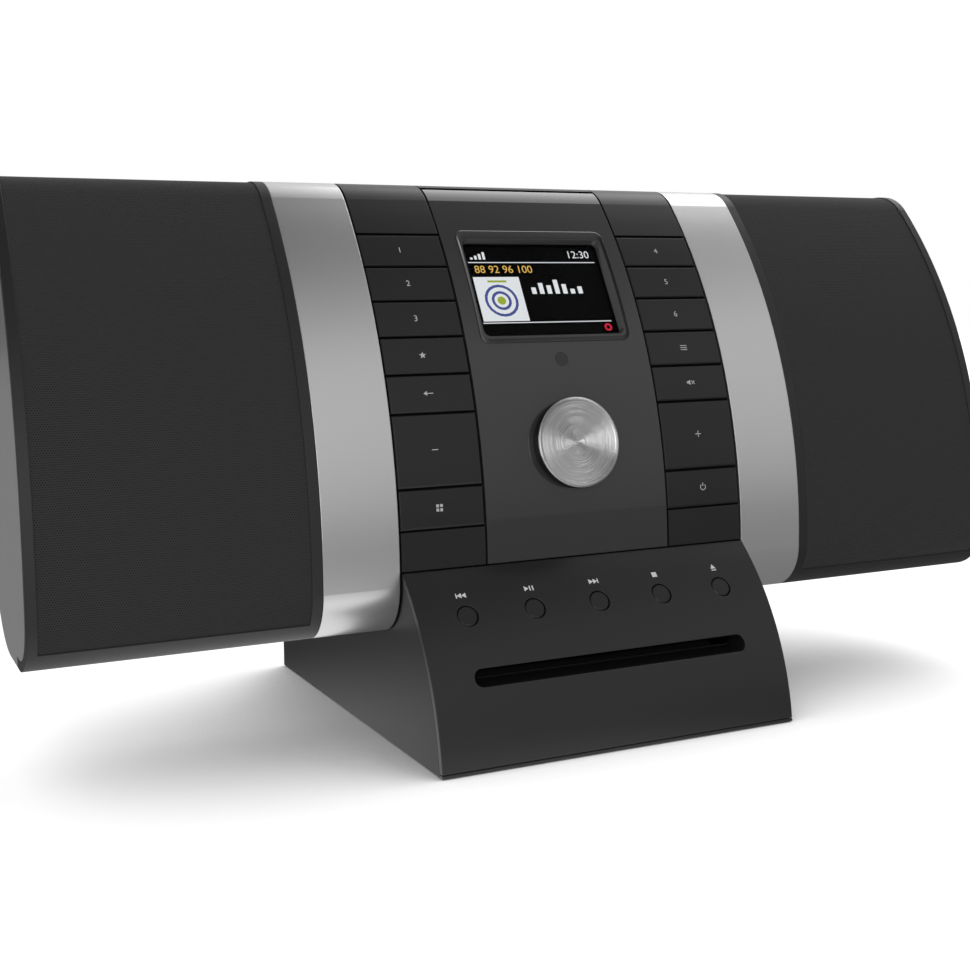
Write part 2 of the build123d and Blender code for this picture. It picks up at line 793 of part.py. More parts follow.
def driver_basket():
    """The driver's pressed frame with its four windows."""
    w = driver_basket_wall
    r = driver_basket_radius
    foot = magnet_radius - w
    shell = peg(driver_radius, 0, driver_flange, turned_sides) + frustum((foot, r), (basket_floor, 0))
    hollow = frustum((foot - w, r - w), (basket_floor + w, 0)) + peg(r - w, 0, cone_edge, turned_sides)
    shell -= hollow
    shell -= peg(cone_radius + surround_width, cone_edge, driver_flange + 1, turned_sides)
    shell -= peg(coil_radius + coil_gap + coil_wall, basket_floor - 1, basket_floor + 2 * w, turned_sides)
    half = driver_window_width / 2
    for turn in (45, 135):
        shell -= Rot(0, 0, turn) * block((-driver_radius, driver_radius), (-half, half),
                                         (basket_floor + 2 * w, -2 * w))
    return shell


def driver_magnet():
    """The ring magnet with its back plate and pole piece."""
    inner = coil_radius + coil_wall + coil_gap
    ring = peg(magnet_radius, magnet_back, basket_floor, turned_sides)
    ring -= peg(inner, coil_floor, basket_floor + 1, turned_sides)
    return ring + peg(coil_radius - coil_wall - coil_gap, magnet_back, basket_floor, turned_sides)


def driver_surround():
    """The rubber roll between the cone and the frame."""
    inner = cone_radius + coil_gap
    outer = cone_radius + surround_width
    middle = (inner + outer) / 2
    heights = (cone_edge, cone_edge + surround_height)
    return frustum((outer, middle + cone_wall), heights) - frustum((inner, middle - cone_wall), heights)


def driver_cone():
    """The diaphragm with its dust cap and the voice coil's former."""
    w = cone_wall
    rim = coil_radius - coil_wall + w
    cone = frustum((coil_radius, cone_radius), (coil_top, cone_edge))
    cone += peg(cone_radius, cone_edge, cone_edge + w, turned_sides)
    cone -= frustum((rim, cone_radius - w), (coil_top + w, cone_edge + w))
    cone += frustum((rim, rim / 2), (coil_top + w, coil_top + w + coil_radius / 3))
    end = coil_floor + cone_stroke + stroke_clearance
    former = peg(coil_radius, end, coil_top, turned_sides)
    return cone + (former - peg(coil_radius - coil_wall, end - 1, coil_top, turned_sides))


def on_side(side, shape):
    """The right-hand shape itself, or its mirror image on the left."""
    return shape if side > 0 else mirror(shape, about=Plane.YZ)


speaker_parts = {
    "speaker_cabinet": [speaker_cabinet()],
    "grille_frame": [grille_frame()],
    "grille_cloth": [cloth_room((cloth_inset, cloth_inset + cloth_thickness))],
    "baffle": [baffle()],
    "driver_basket": [panel * driver_seat * piece
                      for piece in (driver_basket(), driver_magnet(), driver_surround())],
    "driver_cone": [panel * driver_seat * driver_cone()],
}
for side, word in ((-1, "left"), (1, "right")):
    for name, solids in speaker_parts.items():
        save(f"{word}_{name}", *[on_side(side, solid) for solid in solids])

# ---------------------------------------------------------------- disc stand
stand_edge = (front + belly_setback - stand_lead, stand_height)
chord = sqrt((stand_edge[0] - front) ** 2 + stand_height ** 2)
sag = sqrt(stand_front_radius ** 2 - (chord / 2) ** 2)
stand_arc_y = (front + stand_edge[0]) / 2 + sag * stand_height / chord
stand_arc_z = stand_height / 2 - sag * (stand_edge[0] - front) / chord
shelf_end = back_y(stand_height) + stand_shelf_margin


def stand_front_y(z, inset=0.0):
    """Y of the stand's front arc at a height."""
    return stand_arc_y - sqrt((stand_front_radius - inset) ** 2 - (z - stand_arc_z) ** 2)


def stand_profile(inset, low, front_inset):
    """The stand's side outline above a height, with its front set back, as a face at X = 0."""
    high = stand_height - inset
    back = -front - inset
    fall = (stand_height - stand_back_height) / (-front - shelf_end)
    drop = inset * sqrt(1 + fall ** 2)
    shelf = shelf_end + (inset - drop) / fall
    rear_top = stand_height - drop - (back - shelf_end) * fall
    start = (stand_front_y(low, front_inset), low)
    end = (stand_front_y(high, front_inset), high)
    middle = (low + high) / 2
    arc = ThreePointArc(start, (stand_front_y(middle, front_inset), middle), end)
    edges = arc + Polyline(end, (shelf, high), (back, rear_top), (back, low), start)
    return Plane.YZ * make_face(edges.edges())


def stand_housing():
    """The stand's moulded cover: sides, top and back, open at the front and below."""
    x = (-half_stand, half_stand)
    x_in = (-half_stand + stand_wall, half_stand - stand_wall)
    low = ground_gap
    housing = slab(stand_profile(0, low, stand_wall), x)
    housing -= slab(stand_profile(stand_wall, low - 1, 0), x_in)
    post_top = low + stand_wall + screw_length + stand_wall
    for x_post, y_post in base_screws:
        post = Pos(x_post, y_post, 0) * peg(boss_radius, base_top, post_top)
        pilot = Pos(x_post, y_post, 0) * peg(screw_radius, base_top, post_top - stand_wall)
        housing = housing + (post & block(x, (front, -front), (0, post_top))) - pilot
    for x_screw, y_screw in stand_screws:
        housing -= Pos(x_screw, y_screw, stand_height) * peg(screw_radius + running_fit, -2 * stand_wall, 1)
    inlet_hole = block((inlet_offset - inlet_body / 2 - seat_fit, inlet_offset + inlet_body / 2 + seat_fit),
                       (-front - 2 * stand_wall, -front + 1),
                       (socket_height - inlet_body / 2 - seat_fit, socket_height + inlet_body / 2 + seat_fit))
    antenna_hole = (Pos(antenna_offset, -front, socket_height) * Rot(90, 0, 0)
                    * Cylinder(antenna_radius + seat_fit, 4 * stand_wall))
    return housing - inlet_hole - antenna_hole - cable_way


base_top = ground_gap + stand_wall
base_screws = [(sx * (half_stand - stand_wall - boss_radius + wall / 4), y_post)
               for sx in (-1, 1) for y_post in (front + front_post_setback, -front - rear_post_setback)]


def base_plate():
    """The floor of the stand, whose front lip shows as a plinth line under the fascia."""
    x_in = half_stand - stand_wall - seat_fit
    low, high = ground_gap, base_top
    start = stand_front_y(high, stand_wall) + seat_fit
    plate = block((-x_in, x_in), (start, -front - stand_wall - seat_fit), (low, high))
    lip_face = block((-half_stand, half_stand), (front - 1, start + 1), (low, plinth_height))
    lip_arc = (Pos(0, stand_arc_y, stand_arc_z)
               * ring_wall(stand_front_radius, (0, stand_wall - seat_fit), 2 * stand_width))
    plate = plate + (lip_face & lip_arc)
    plate += block((-x_in, x_in), (stand_front_y(low, stand_wall) - 1, start + 1), (low, plinth_height))
    for x_foot, y_foot in feet_places:
        plate -= Pos(x_foot, y_foot, 0) * peg(foot_radius + seat_fit, 0, foot_thickness, turned_sides)
    for x_post, y_post in base_screws:
        plate -= Pos(x_post, y_post, 0) * peg(screw_radius + running_fit, 0, high + 1)
        plate -= Pos(x_post, y_post, 0) * peg(screw_head_radius + running_fit, 0, high - screw_head_height / 2)
    for row in range(vent_count):
        y_slot = front + disc_setback + (row - (vent_count - 1) / 2) * vent_pitch
        plate -= Pos(0, y_slot, low - 1) * extrude(vent(), high + 1)
    return plate


feet_places = [(sx * (half_stand - foot_inset), y_foot)
               for sx in (-1, 1) for y_foot in (front + foot_setback, -front - foot_inset)]


def stand_fascia():
    """The stand's curved front panel, with the disc slot, its guide and the buttons' holes."""
    x = (-half_stand, half_stand)
    z = (plinth_height + plinth_gap, stand_height)
    tube = Pos(0, stand_arc_y, stand_arc_z) * ring_wall(stand_front_radius, (0, stand_wall - seat_fit),
                                                        2 * stand_width)
    fascia = tube & block(x, (front, stand_arc_y - 1), z)
    guide_face = SlotOverall(slot_width + 2 * slot_guide_wall, slot_height + 2 * slot_guide_wall)
    guide = Pos(0, front + slot_throat, slot_centre) * Rot(90, 0, 0) * extrude(guide_face, slot_throat)
    behind = Pos(0, stand_arc_y, stand_arc_z) * Rot(0, 90, 0) * Cylinder(
        stand_front_radius - stand_wall / 2, 2 * stand_width)
    fascia += guide & behind
    slot = Pos(0, front + slot_throat + 1, slot_centre) * Rot(90, 0, 0) * extrude(
        SlotOverall(slot_width, slot_height), slot_throat + 2)
    fascia -= slot
    for place in button_places:
        fascia -= place * rod(button_radius + button_gap, stand_front_radius - 2 * stand_wall,
                              stand_front_radius + 1)
    for x_post in button_posts:
        root = stand_front_radius - stand_wall / 2
        post = button_frame * Pos(x_post, 0, 0) * peg(post_radius, button_board_top, root)
        pilot = button_frame * Pos(x_post, 0, 0) * peg(screw_radius, button_board_top - 1,
                                                       button_board_top + screw_length - 2 * wall)
        fascia = fascia + post - pilot
    return fascia


button_angle = asin((button_height - stand_arc_z) / stand_front_radius)
button_frame = Plane((0, stand_arc_y, stand_arc_z), x_dir=(1, 0, 0),
                     z_dir=(0, -cos(button_angle), sin(button_angle))).location
button_names = ["button_previous", "button_play", "button_next", "button_stop", "button_eject"]
button_places = [button_frame * Pos((index - 2) * button_pitch, 0, 0) for index in range(5)]
button_posts = [sign * 1.5 * button_pitch for sign in (-1, 1)]
button_back = stand_front_radius - button_cap
button_switch_top = button_back - button_stroke - stroke_clearance
button_board_top = button_switch_top - switch_height / 2


def disc_button():
    """A round button with a collar that keeps it behind the fascia."""
    cap = rod(button_radius, button_back, stand_front_radius)
    top = cap.edges().filter_by(GeomType.CIRCLE).sort_by(Axis.Z)[-1]
    cap = chamfer(top, button_edge)
    collar_top = stand_front_radius - stand_wall - stroke_clearance
    return cap + peg(button_radius + button_flange_reach, collar_top - button_flange, collar_top, turned_sides)


def button_board():
    """The small board under the buttons, with a low switch in line with each."""
    half = 2 * button_pitch + button_board_margin
    top = button_board_top
    board = block((-half, half), (-button_board_width / 2, button_board_width / 2),
                  (top - board_thickness, top))
    for index in range(5):
        x_switch = (index - 2) * button_pitch
        side_half = switch_side / 2
        board += block((x_switch - side_half, x_switch + side_half), (-side_half, side_half),
                       (top, button_switch_top))
    for x_post in button_posts:
        board -= Pos(x_post, 0, 0) * peg(screw_radius + running_fit, top - 2 * board_thickness, top + 1)
    return button_frame * board


def dust_seal():
    """The felt ring that closes the end of the slot's guide down to the disc's height."""
    outer = SlotOverall(slot_width + 2 * slot_guide_wall, slot_height + 2 * slot_guide_wall)
    inner = SlotOverall(slot_width - 2 * seal_lip, slot_height - 2 * seal_lip)
    place = Pos(0, front + slot_throat + seal_thickness, slot_centre) * Rot(90, 0, 0)
    return place * extrude(outer - inner, seal_thickness)


def foot(x_foot, y_foot):
    """A rubber foot in its recess under the base."""
    return Pos(x_foot, y_foot, 0) * peg(foot_radius, 0, foot_thickness, turned_sides)


save("stand_housing", stand_housing())
save("base_plate", base_plate())
save("stand_fascia", stand_fascia())
save("dust_seal", dust_seal())
save("button_board", button_board())
for name, place in zip(button_names, button_places):
    save(name, place * disc_button())
save("feet", *[foot(*place) for place in feet_places])

# ---------------------------------------------------------------- disc transport
disc_y = front + disc_setback
disc_low = slot_centre - disc_room
disc_high = slot_centre + disc_room
chassis_x = half_stand - stand_wall - chassis_margin / 2
chassis_y = (front + slot_throat + seal_thickness + chassis_gap, disc_y + disc_radius + chassis_margin / 2)
chassis_top = slot_centre - chassis_drop
chassis_low = chassis_top - chassis_thickness
cheek_top = disc_high + chassis_rise
roller_z = disc_low - roller_radius - stroke_clearance
roller_y = front + roller_setback
turntable_top = slot_centre - turntable_drop
motor_top = chassis_top - stroke_clearance
rail_z = chassis_low - sled_height / 2
sled_start = disc_y + motor_radius + stroke_clearance + sled_gap
rail_end = sled_start + sled_length + sled_travel + stroke_clearance * 2


def cd_chassis():
    """The transport's tray: a deck with cheeks for the roller, legs, and two guide rails."""
    x = (-chassis_x, chassis_x)
    tray = block(x, chassis_y, (chassis_low, chassis_top))
    for side in (-1, 1):
        cheek = (side * chassis_x, side * (chassis_x - chassis_thickness))
        tray += block((min(cheek), max(cheek)), chassis_y, (chassis_low, cheek_top))
        for y_leg in (chassis_y[0] + 2 * chassis_leg_radius, chassis_y[1] - 2 * chassis_leg_radius):
            x_leg = side * (chassis_x - 2 * chassis_leg_radius)
            tray += Pos(x_leg, y_leg, 0) * peg(chassis_leg_radius, base_top, chassis_low)
    well = turntable_radius + 2 * stroke_clearance
    tray -= Pos(0, disc_y, 0) * peg(well, chassis_low - 1, chassis_top + 1, turned_sides)
    window = (-rail_spacing / 2 + 2 * rail_radius, rail_spacing / 2 - 2 * rail_radius)
    tray -= block(window, (disc_y, rail_end), (chassis_low - 1, chassis_top + 1))
    tray -= Pos(0, roller_y, roller_z) * Rot(0, 90, 0) * Cylinder(
        roller_shaft_radius + running_fit, 2 * chassis_x + 2)
    lug_half = rail_radius + wall / 2
    for side in (-1, 1):
        x_rail = side * rail_spacing / 2
        for y_lug in (sled_start - wall, rail_end):
            tray += block((x_rail - lug_half, x_rail + lug_half), (y_lug, y_lug + wall),
                          (rail_z - lug_half, chassis_top))
        tray += Pos(x_rail, (sled_start + rail_end) / 2, rail_z) * Rot(90, 0, 0) * Cylinder(
            rail_radius, rail_end - sled_start)
        x_ear = side * (motor_radius + boss_radius)
        tray += Pos(x_ear, disc_y, 0) * peg(boss_radius / 2, motor_top - motor_height / 2, chassis_low)
    return tray


def disc_guide():
    """The plate over the disc path, which holds the disc down on the roller."""
    plate = block((-chassis_x, chassis_x), (chassis_y[0], disc_y + disc_hub_radius * 3),
                  (cheek_top, cheek_top + chassis_thickness))
    plate -= Pos(0, disc_y, 0) * peg(turntable_radius, cheek_top - 1, cheek_top + 2 * chassis_thickness,
                                     turned_sides)
    for side in (-1, 1):
        x_rib = side * (disc_radius - guide_rib_inset)
        plate += block((x_rib - chassis_thickness, x_rib + chassis_thickness),
                       (chassis_y[0], roller_y + 2 * roller_radius),
                       (disc_high + stroke_clearance, cheek_top + chassis_thickness / 2))
    return plate


def feed_roller():
    """The tapered rubber roller that draws the disc in, on its steel shaft."""
    end = slot_width / 2 - roller_radius
    waist = roller_radius - roller_taper
    roller = frustum((roller_radius, waist), (-end, 0)) + frustum((waist, roller_radius), (0, end))
    shaft = rod(roller_shaft_radius, -chassis_x, chassis_x)
    return Pos(0, roller_y, roller_z) * Rot(0, 90, 0) * (roller + shaft)


def turntable():
    """The disc's turntable with its centring hub, on the motor's spindle."""
    table = peg(turntable_radius, turntable_top - turntable_thickness, turntable_top, turned_sides)
    shoulder = turntable_top + disc_hub_height / 2
    hub = peg(disc_hub_radius, turntable_top, shoulder, turned_sides)
    hub += frustum((disc_hub_radius, disc_hub_radius - disc_hub_height / 2),
                   (shoulder, turntable_top + disc_hub_height))
    spindle = rod(spindle_radius, motor_top - motor_height / 2, turntable_top)
    return Pos(0, disc_y, 0) * join(table, hub, spindle)


def spindle_motor():
    """The motor under the turntable, carried by two ears on the tray's pins."""
    low = motor_top - motor_height
    can = peg(motor_radius, low, motor_top, turned_sides)
    ear_x = motor_radius + boss_radius
    ears = block((-ear_x - boss_radius / 2, ear_x + boss_radius / 2), (-boss_radius / 2, boss_radius / 2),
                 (low, motor_top - motor_height / 2))
    motor = can + ears
    return Pos(0, disc_y, 0) * (motor - rod(spindle_radius + running_fit, low + 1, motor_top + 1))


def laser_sled():
    """The pickup's carriage on the two rails, with its lens turret."""
    reach = rail_spacing / 2 + rail_radius + wall
    low, high = rail_z - sled_height / 2 + stroke_clearance, rail_z + sled_height / 2 - stroke_clearance
    y = (sled_start + stroke_clearance, sled_start + sled_length - stroke_clearance)
    sled = block((-reach, reach), y, (low, high))
    for side in (-1, 1):
        bore = Pos(side * rail_spacing / 2, (y[0] + y[1]) / 2, rail_z) * Rot(90, 0, 0)
        sled -= bore * Cylinder(rail_radius + running_fit, sled_length + 1)
    turret = Pos(0, (y[0] + y[1]) / 2, 0)
    sled += turret * peg(2 * lens_radius, high, chassis_top)
    return sled + turret * peg(lens_radius, chassis_top, chassis_top + lens_radius / 2, turned_sides)


save("cd_chassis", cd_chassis())
save("disc_guide", disc_guide())
save("feed_roller", feed_roller())
save("turntable", turntable())
save("spindle_motor", spindle_motor())
save("laser_sled", laser_sled())

# ---------------------------------------------------------------- rear sockets and fasteners


def power_inlet():
    """The low-voltage inlet in the stand's back wall."""
    half = inlet_body / 2
    body = block((-half, half), (-half, half), (-inlet_length, 0))
    body += block((-half, half), (-half - wall / 2, half + wall / 2),
                  (-inlet_length, -stand_wall - seat_fit))
    body -= rod(inlet_radius, -inlet_length + wall, 1)
    body += rod(inlet_pin_radius, -inlet_length + wall / 2, -wall)
    return Pos(inlet_offset, -front, socket_height) * Rot(-90, 0, 0) * body


def antenna_socket():
    """The coaxial aerial socket, flush with the back wall, with its centre pin."""
    barrel = rod(antenna_radius, -antenna_length, 0)
    barrel += peg(antenna_radius + wall, -2 * stand_wall, -stand_wall - seat_fit)
    barrel -= rod(antenna_bore, -antenna_length + wall, 1)
    barrel += rod(antenna_pin_radius, -antenna_length + wall / 2, -wall / 2)
    return Pos(antenna_offset, -front, socket_height) * Rot(-90, 0, 0) * barrel


def screw(length=screw_length):
    """A pan-head screw, head at Z = 0 and shank down -Z."""
    return peg(screw_radius - seat_fit, -length, 0) + peg(screw_head_radius, 0, screw_head_height)


def all_screws():
    """Every screw of the assembly, where it is driven."""
    grip = screw_length - wall
    screws = []
    for x_post, v_post in board_posts:
        place = panel * Pos(x_post, v_post, control_board_top - board_thickness) * Rot(180, 0, 0)
        screws.append(place * screw(grip))
    for x_post, v_post in main_posts:
        place = back_frame * Pos(x_post, v_post, -wall - main_board_gap - board_thickness) * Rot(180, 0, 0)
        screws.append(place * screw(grip))
    for x_screw, y_screw in stand_screws:
        place = Pos(x_screw, y_screw, stand_height - stand_wall) * Rot(180, 0, 0)
        screws.append(place * screw(grip))
    for x_post, y_post in base_screws:
        place = Pos(x_post, y_post, base_top - screw_head_height / 2) * Rot(180, 0, 0)
        screws.append(place * screw(grip))
    for x_post in button_posts:
        place = button_frame * Pos(x_post, 0, button_board_top - board_thickness) * Rot(180, 0, 0)
        screws.append(place * screw(board_thickness + screw_length - 2 * wall - stroke_clearance))
    for side in (-1, 1):
        for y_screw, z_screw in cabinet_screws:
            turn = Rot(0, -side * 90, 0)
            place = Pos(side * (half_centre - wall), y_screw, z_screw) * turn
            screws.append(place * screw(grip))
    return screws


save("power_inlet", power_inlet())
save("antenna_socket", antenna_socket())
save("screws", *all_screws())
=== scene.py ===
"""Looks of the mini hifi system: two speakers on a curved centre unit, over a disc stand.

Sizes are in metres, in the row frame: X to the right, Y to the back and Z up.
"""

import json
from math import asin, atan2, cos, hypot, pi, radians, sin, sqrt

import bpy
from mathutils import Matrix, Vector


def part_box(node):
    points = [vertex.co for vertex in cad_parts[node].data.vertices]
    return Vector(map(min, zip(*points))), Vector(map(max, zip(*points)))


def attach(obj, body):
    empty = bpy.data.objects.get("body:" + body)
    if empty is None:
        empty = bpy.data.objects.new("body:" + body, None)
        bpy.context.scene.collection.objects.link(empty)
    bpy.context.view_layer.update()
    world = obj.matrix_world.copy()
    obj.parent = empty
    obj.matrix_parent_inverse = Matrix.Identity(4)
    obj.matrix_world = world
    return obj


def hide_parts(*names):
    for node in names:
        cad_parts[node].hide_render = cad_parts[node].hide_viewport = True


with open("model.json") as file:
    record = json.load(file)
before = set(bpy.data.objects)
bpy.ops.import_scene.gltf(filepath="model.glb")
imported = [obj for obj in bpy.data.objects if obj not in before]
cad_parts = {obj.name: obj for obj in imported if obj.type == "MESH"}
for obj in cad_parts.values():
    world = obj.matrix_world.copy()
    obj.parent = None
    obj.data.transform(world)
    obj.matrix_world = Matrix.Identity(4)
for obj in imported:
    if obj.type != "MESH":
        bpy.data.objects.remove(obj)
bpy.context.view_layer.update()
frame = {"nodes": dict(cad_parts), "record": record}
nodes = frame["nodes"]
mm = 0.001

# ---------------------------------------------------------------- studio
# A white table before a white backdrop, seen from the front left at the height of the keys. The
# room has a dim ceiling, and its walls are dim behind the camera and brighten to both sides. A
# large lamp hangs over the right shoulder, and a low one stands at the front left.
camera_place = (-0.28741, -0.57360, 0.17582)
camera_yaw, camera_pitch, camera_roll = radians(25.30), radians(3.985), -0.0144
camera_data = bpy.data.cameras.new("camera")
camera_data.sensor_fit = "HORIZONTAL"
camera_data.sensor_width = 36.0
camera_data.lens = 52.76
camera_data.shift_x = 0.0039
camera_data.shift_y = -0.0812
camera_data.clip_start = 0.01
camera = bpy.data.objects.new("camera", camera_data)
camera.matrix_world = (Matrix.Translation(camera_place)
                       @ Matrix.Rotation(-camera_yaw, 4, "Z")
                       @ Matrix.Rotation(pi / 2 - camera_pitch, 4, "X")
                       @ Matrix.Rotation(camera_roll, 4, "Z"))
bpy.context.scene.collection.objects.link(camera)
bpy.context.scene.camera = camera
bpy.context.scene.view_settings.view_transform = "Standard"

black, white = (0.0, 0.0, 0.0, 1.0), (1.0, 1.0, 1.0, 1.0)


class Value:
    """A node's output. Arithmetic on it adds Math nodes to the same tree."""

    def __init__(self, tree, socket):
        self.tree = tree
        self.socket = socket

    def math(self, operation, *others):
        node = self.tree.nodes.new("ShaderNodeMath")
        node.operation = operation
        for slot, other in zip(node.inputs, (self, *others)):
            feed(self.tree, slot, other)
        return Value(self.tree, node.outputs[0])

    def __add__(self, other):
        return self.math("ADD", other)

    def __mul__(self, other):
        return self.math("MULTIPLY", other)

    def __sub__(self, other):
        return self.math("SUBTRACT", other)

    def __rsub__(self, other):
        return (self * -1.0).math("ADD", other)

    def __truediv__(self, other):
        return self.math("DIVIDE", other)

    def __gt__(self, other):
        return self.math("GREATER_THAN", other)

    __radd__ = __add__
    __rmul__ = __mul__

    def climb(self, start, slope, least=0.0, most=1.0):
        """A share that is 0 at a start, changes by a slope, and is held between two numbers."""
        return ((self - start) * slope).math("MAXIMUM", least).math("MINIMUM", most)


def feed(tree, slot, value):
    """Link a Value to a socket, or set the socket to a number, vector or colour."""
    if isinstance(value, Value):
        tree.links.new(value.socket, slot)
    else:
        slot.default_value = value


class Shading:
    """A node tree, to which any node is added in one call."""

    def __init__(self, tree):
        self.tree = tree

    def node(self, kind, inputs, output=0, stops=(), **settings):
        """Add a node: its settings and a ramp's grey stops first, then what its sockets get."""
        node = self.tree.nodes.new(kind)
        for name, setting in settings.items():
            setattr(node, name, setting)
        for index, (position, level) in enumerate(stops):
            marks = node.color_ramp.elements
            mark = marks[index] if index < len(marks) else marks.new(position)
            mark.position = position
            mark.color = (level, level, level, 1.0)
        for socket, value in inputs.items():
            feed(self.tree, node.inputs[socket], value)
        return Value(self.tree, node.outputs[output])


class Finish(Shading):
    """A material with one Principled shader, whose constants are given by their sockets' names."""

    def __init__(self, name, constants):
        self.material = bpy.data.materials.new(name)
        self.material.use_nodes = True
        super().__init__(self.material.node_tree)
        self.shader = self.tree.nodes["Principled BSDF"]
        for socket, value in constants.items():
            self.shader.inputs[socket].default_value = value

    def place(self):
        """Where the shaded point is on the object, in metres."""
        return self.node("ShaderNodeTexCoord", {}, "Object")

    def noise(self, scale, detail=2.0, at=None):
        """Soft random mottling between 0 and 1, with a scale in features a metre."""
        return self.node("ShaderNodeTexNoise",
                         {"Vector": at or self.place(), "Scale": scale, "Detail": detail})

    def blend(self, factor, first, second):
        """A colour between two colours."""
        return self.node("ShaderNodeMix", {0: factor, 6: first, 7: second}, 2, data_type="RGBA")

    def drive(self, socket, value):
        """Let a value that changes over the surface set a socket of the shader."""
        feed(self.tree, self.shader.inputs[socket], value)

    def vary(self, shade, first, second, rough, wear=None):
        """Blend two colours by one pattern, and move the roughness over its range by another."""
        least, most = rough
        self.drive("Base Color", self.blend(shade, first, second))
        self.drive("Roughness", (wear or shade) * (most - least) + least)

    def relief(self, height, depth, strength=1.0, edge=0.0):
        """Raise and lower the surface's look by a height between 0 and 1 times a depth in metres.

        An edge is the radius at which the moulding's corners look rounded.
        """
        inputs = {"Height": height, "Distance": depth, "Strength": strength}
        if edge:
            inputs["Normal"] = self.node("ShaderNodeBevel", {"Radius": edge}, samples=4)
        self.drive("Normal", self.node("ShaderNodeBump", inputs))


def grey(level):
    """A neutral colour from a display level between 0 and 255."""
    share = level / 255
    linear = ((share + 0.055) / 1.055) ** 2.4 if share > 0.04045 else share / 12.92
    return (linear, linear, linear, 1.0)


def tint(red, green, blue):
    """A colour from display levels between 0 and 255."""
    return tuple(grey(level)[0] for level in (red, green, blue)) + (1.0,)


# How bright the room is at each sine of the angle over the horizon.
room_front = [(0.0, 0.38), (0.15, 0.50), (0.60, 0.62), (0.80, 0.28), (0.90, 0.10), (1.0, 0.05)]
# How a wall climbs in brightness: from what share of a look's direction, how steeply, and
# between which limits.
right_wall, left_wall = (-0.05, 4.0, 0.25), (-0.5, -3.0, 0.0, 0.9)
back_wall, back_corner = (0.0, 6.0), (1 / 15, 1.5, 0.4)

world = bpy.data.worlds.new("white_room")
bpy.context.scene.world = world
world.use_nodes = True
background = world.node_tree.nodes["Background"]
background.inputs["Color"].default_value = white
room = Shading(world.node_tree)
look = room.node("ShaderNodeTexCoord", {}, "Generated")
rightward, backward, upward = [room.node("ShaderNodeSeparateXYZ", {0: look}, axis) for axis in "XYZ"]
front_light = room.node("ShaderNodeValToRGB", {0: upward}, stops=room_front)
side_light = rightward.climb(*right_wall).math("MAXIMUM", rightward.climb(*left_wall))
back_light = backward.climb(*back_wall) * rightward.climb(*back_corner)
room_light = front_light * side_light + back_light * upward
backdrop = room.node("ShaderNodeLightPath", {}, "Is Camera Ray")
feed(room.tree, background.inputs["Strength"],
     room_light.math("MAXIMUM", backdrop).math("MINIMUM", 1.0))

table_size = 12.0
# The table whitens with its distance from the object. In reflections it glows with painted
# light, bright near the object's front left foot, and darker from there.
table_whitens, table_darkens = (0.5, 1.2), (0.10, 8.0)
painted_light_spot = (-0.10, -0.10, 0.0)
# Painted contact shadow, which darkens the table's glow near the object: how far it looks for
# the object, how open a spot has to be to be clear of it, and how steeply it falls.
shade_reach, shade_clear, shade_fall = 0.13, 1 / 1.40, 3.0

bpy.ops.mesh.primitive_plane_add(size=table_size, location=(0, 0, 0))
table = bpy.context.object
table.name = "table"
table_white = Finish("white_table", {"Roughness": 0.6, "Specular IOR Level": 0.0,
                                     "Emission Strength": 1.0})
seen = table_white.node("ShaderNodeLightPath", {}, "Is Camera Ray")
mirrored = table_white.node("ShaderNodeLightPath", {}, "Is Glossy Ray")
from_middle = table_white.node("ShaderNodeVectorMath", {0: table_white.place()}, "Value",
                               operation="LENGTH")
from_spot = table_white.node("ShaderNodeVectorMath", {0: table_white.place(), 1: painted_light_spot},
                             "Value", operation="DISTANCE")
openness = table_white.node("ShaderNodeAmbientOcclusion", {"Distance": shade_reach}, "AO", samples=6)
clearness = (openness / shade_clear).math("MINIMUM", 1.0).math("POWER", shade_fall)
glow_seen = table_white.blend(from_middle.climb(*table_whitens), grey(229), white)
# Painted shadow: the glow that the camera sees is darkened where the object is near.
glow_painted_shadow = table_white.blend(clearness, black, glow_seen)
# Painted light: a white glow near the foot, seen only in reflections.
glow_mirrored = table_white.blend(from_spot.climb(*table_darkens), white, grey(128))
table_glow = table_white.blend(mirrored, glow_painted_shadow, glow_mirrored)
table_paint = table_white.blend(seen, grey(225), grey(222))
table_white.drive("Base Color", table_white.blend(mirrored, table_paint, grey(40)))
table_white.drive("Emission Color",
                  table_white.blend(mirrored.math("MAXIMUM", seen), black, table_glow))
table.data.materials.append(table_white.material)

# Each lamp's place, the spot it faces, its size and its power in watts.
lamps = {
    "lamp_over": ((1.2, 0.57, 1.6), (1.2, 0.57, 0.0), (1.4, 1.25), 9.5),
    "lamp_left": ((-0.8, -2.1, 0.5), (0.0, 0.0, 0.12), (1.4, 1.4), 20.0),
}
for lamp_name, (lamp_place, lamp_aim, lamp_size, lamp_power) in lamps.items():
    lamp_data = bpy.data.lights.new(lamp_name, "AREA")
    lamp_data.shape = "RECTANGLE"
    lamp_data.size, lamp_data.size_y = lamp_size
    lamp_data.energy = lamp_power
    lamp = bpy.data.objects.new(lamp_name, lamp_data)
    facing = (Vector(lamp_aim) - Vector(lamp_place)).to_track_quat("-Z", "Y")
    lamp.matrix_world = Matrix.Translation(lamp_place) @ facing.to_matrix().to_4x4()
    bpy.context.scene.collection.objects.link(lamp)

# ---------------------------------------------------------------- speaker cabinets
# Each cabinet is one curved plastic moulding, lacquered in silver. Its smooth band shows beside
# the centre unit, and its walls close the end and the back of the speaker.
silver = Finish("silver_lacquer", {"Metallic": 0.92, "Coat Weight": 0.25, "Coat Roughness": 0.12})
silver_fleck = silver.noise(2600.0, 1.0)
silver_cloud = silver.noise(16.0, 3.0)
silver.vary((silver_fleck + silver_cloud) * 0.5, grey(216), grey(226), (0.28, 0.32),
            wear=silver_cloud)
silver.relief(silver_cloud, 0.01 * mm, 0.05, edge=0.5 * mm)


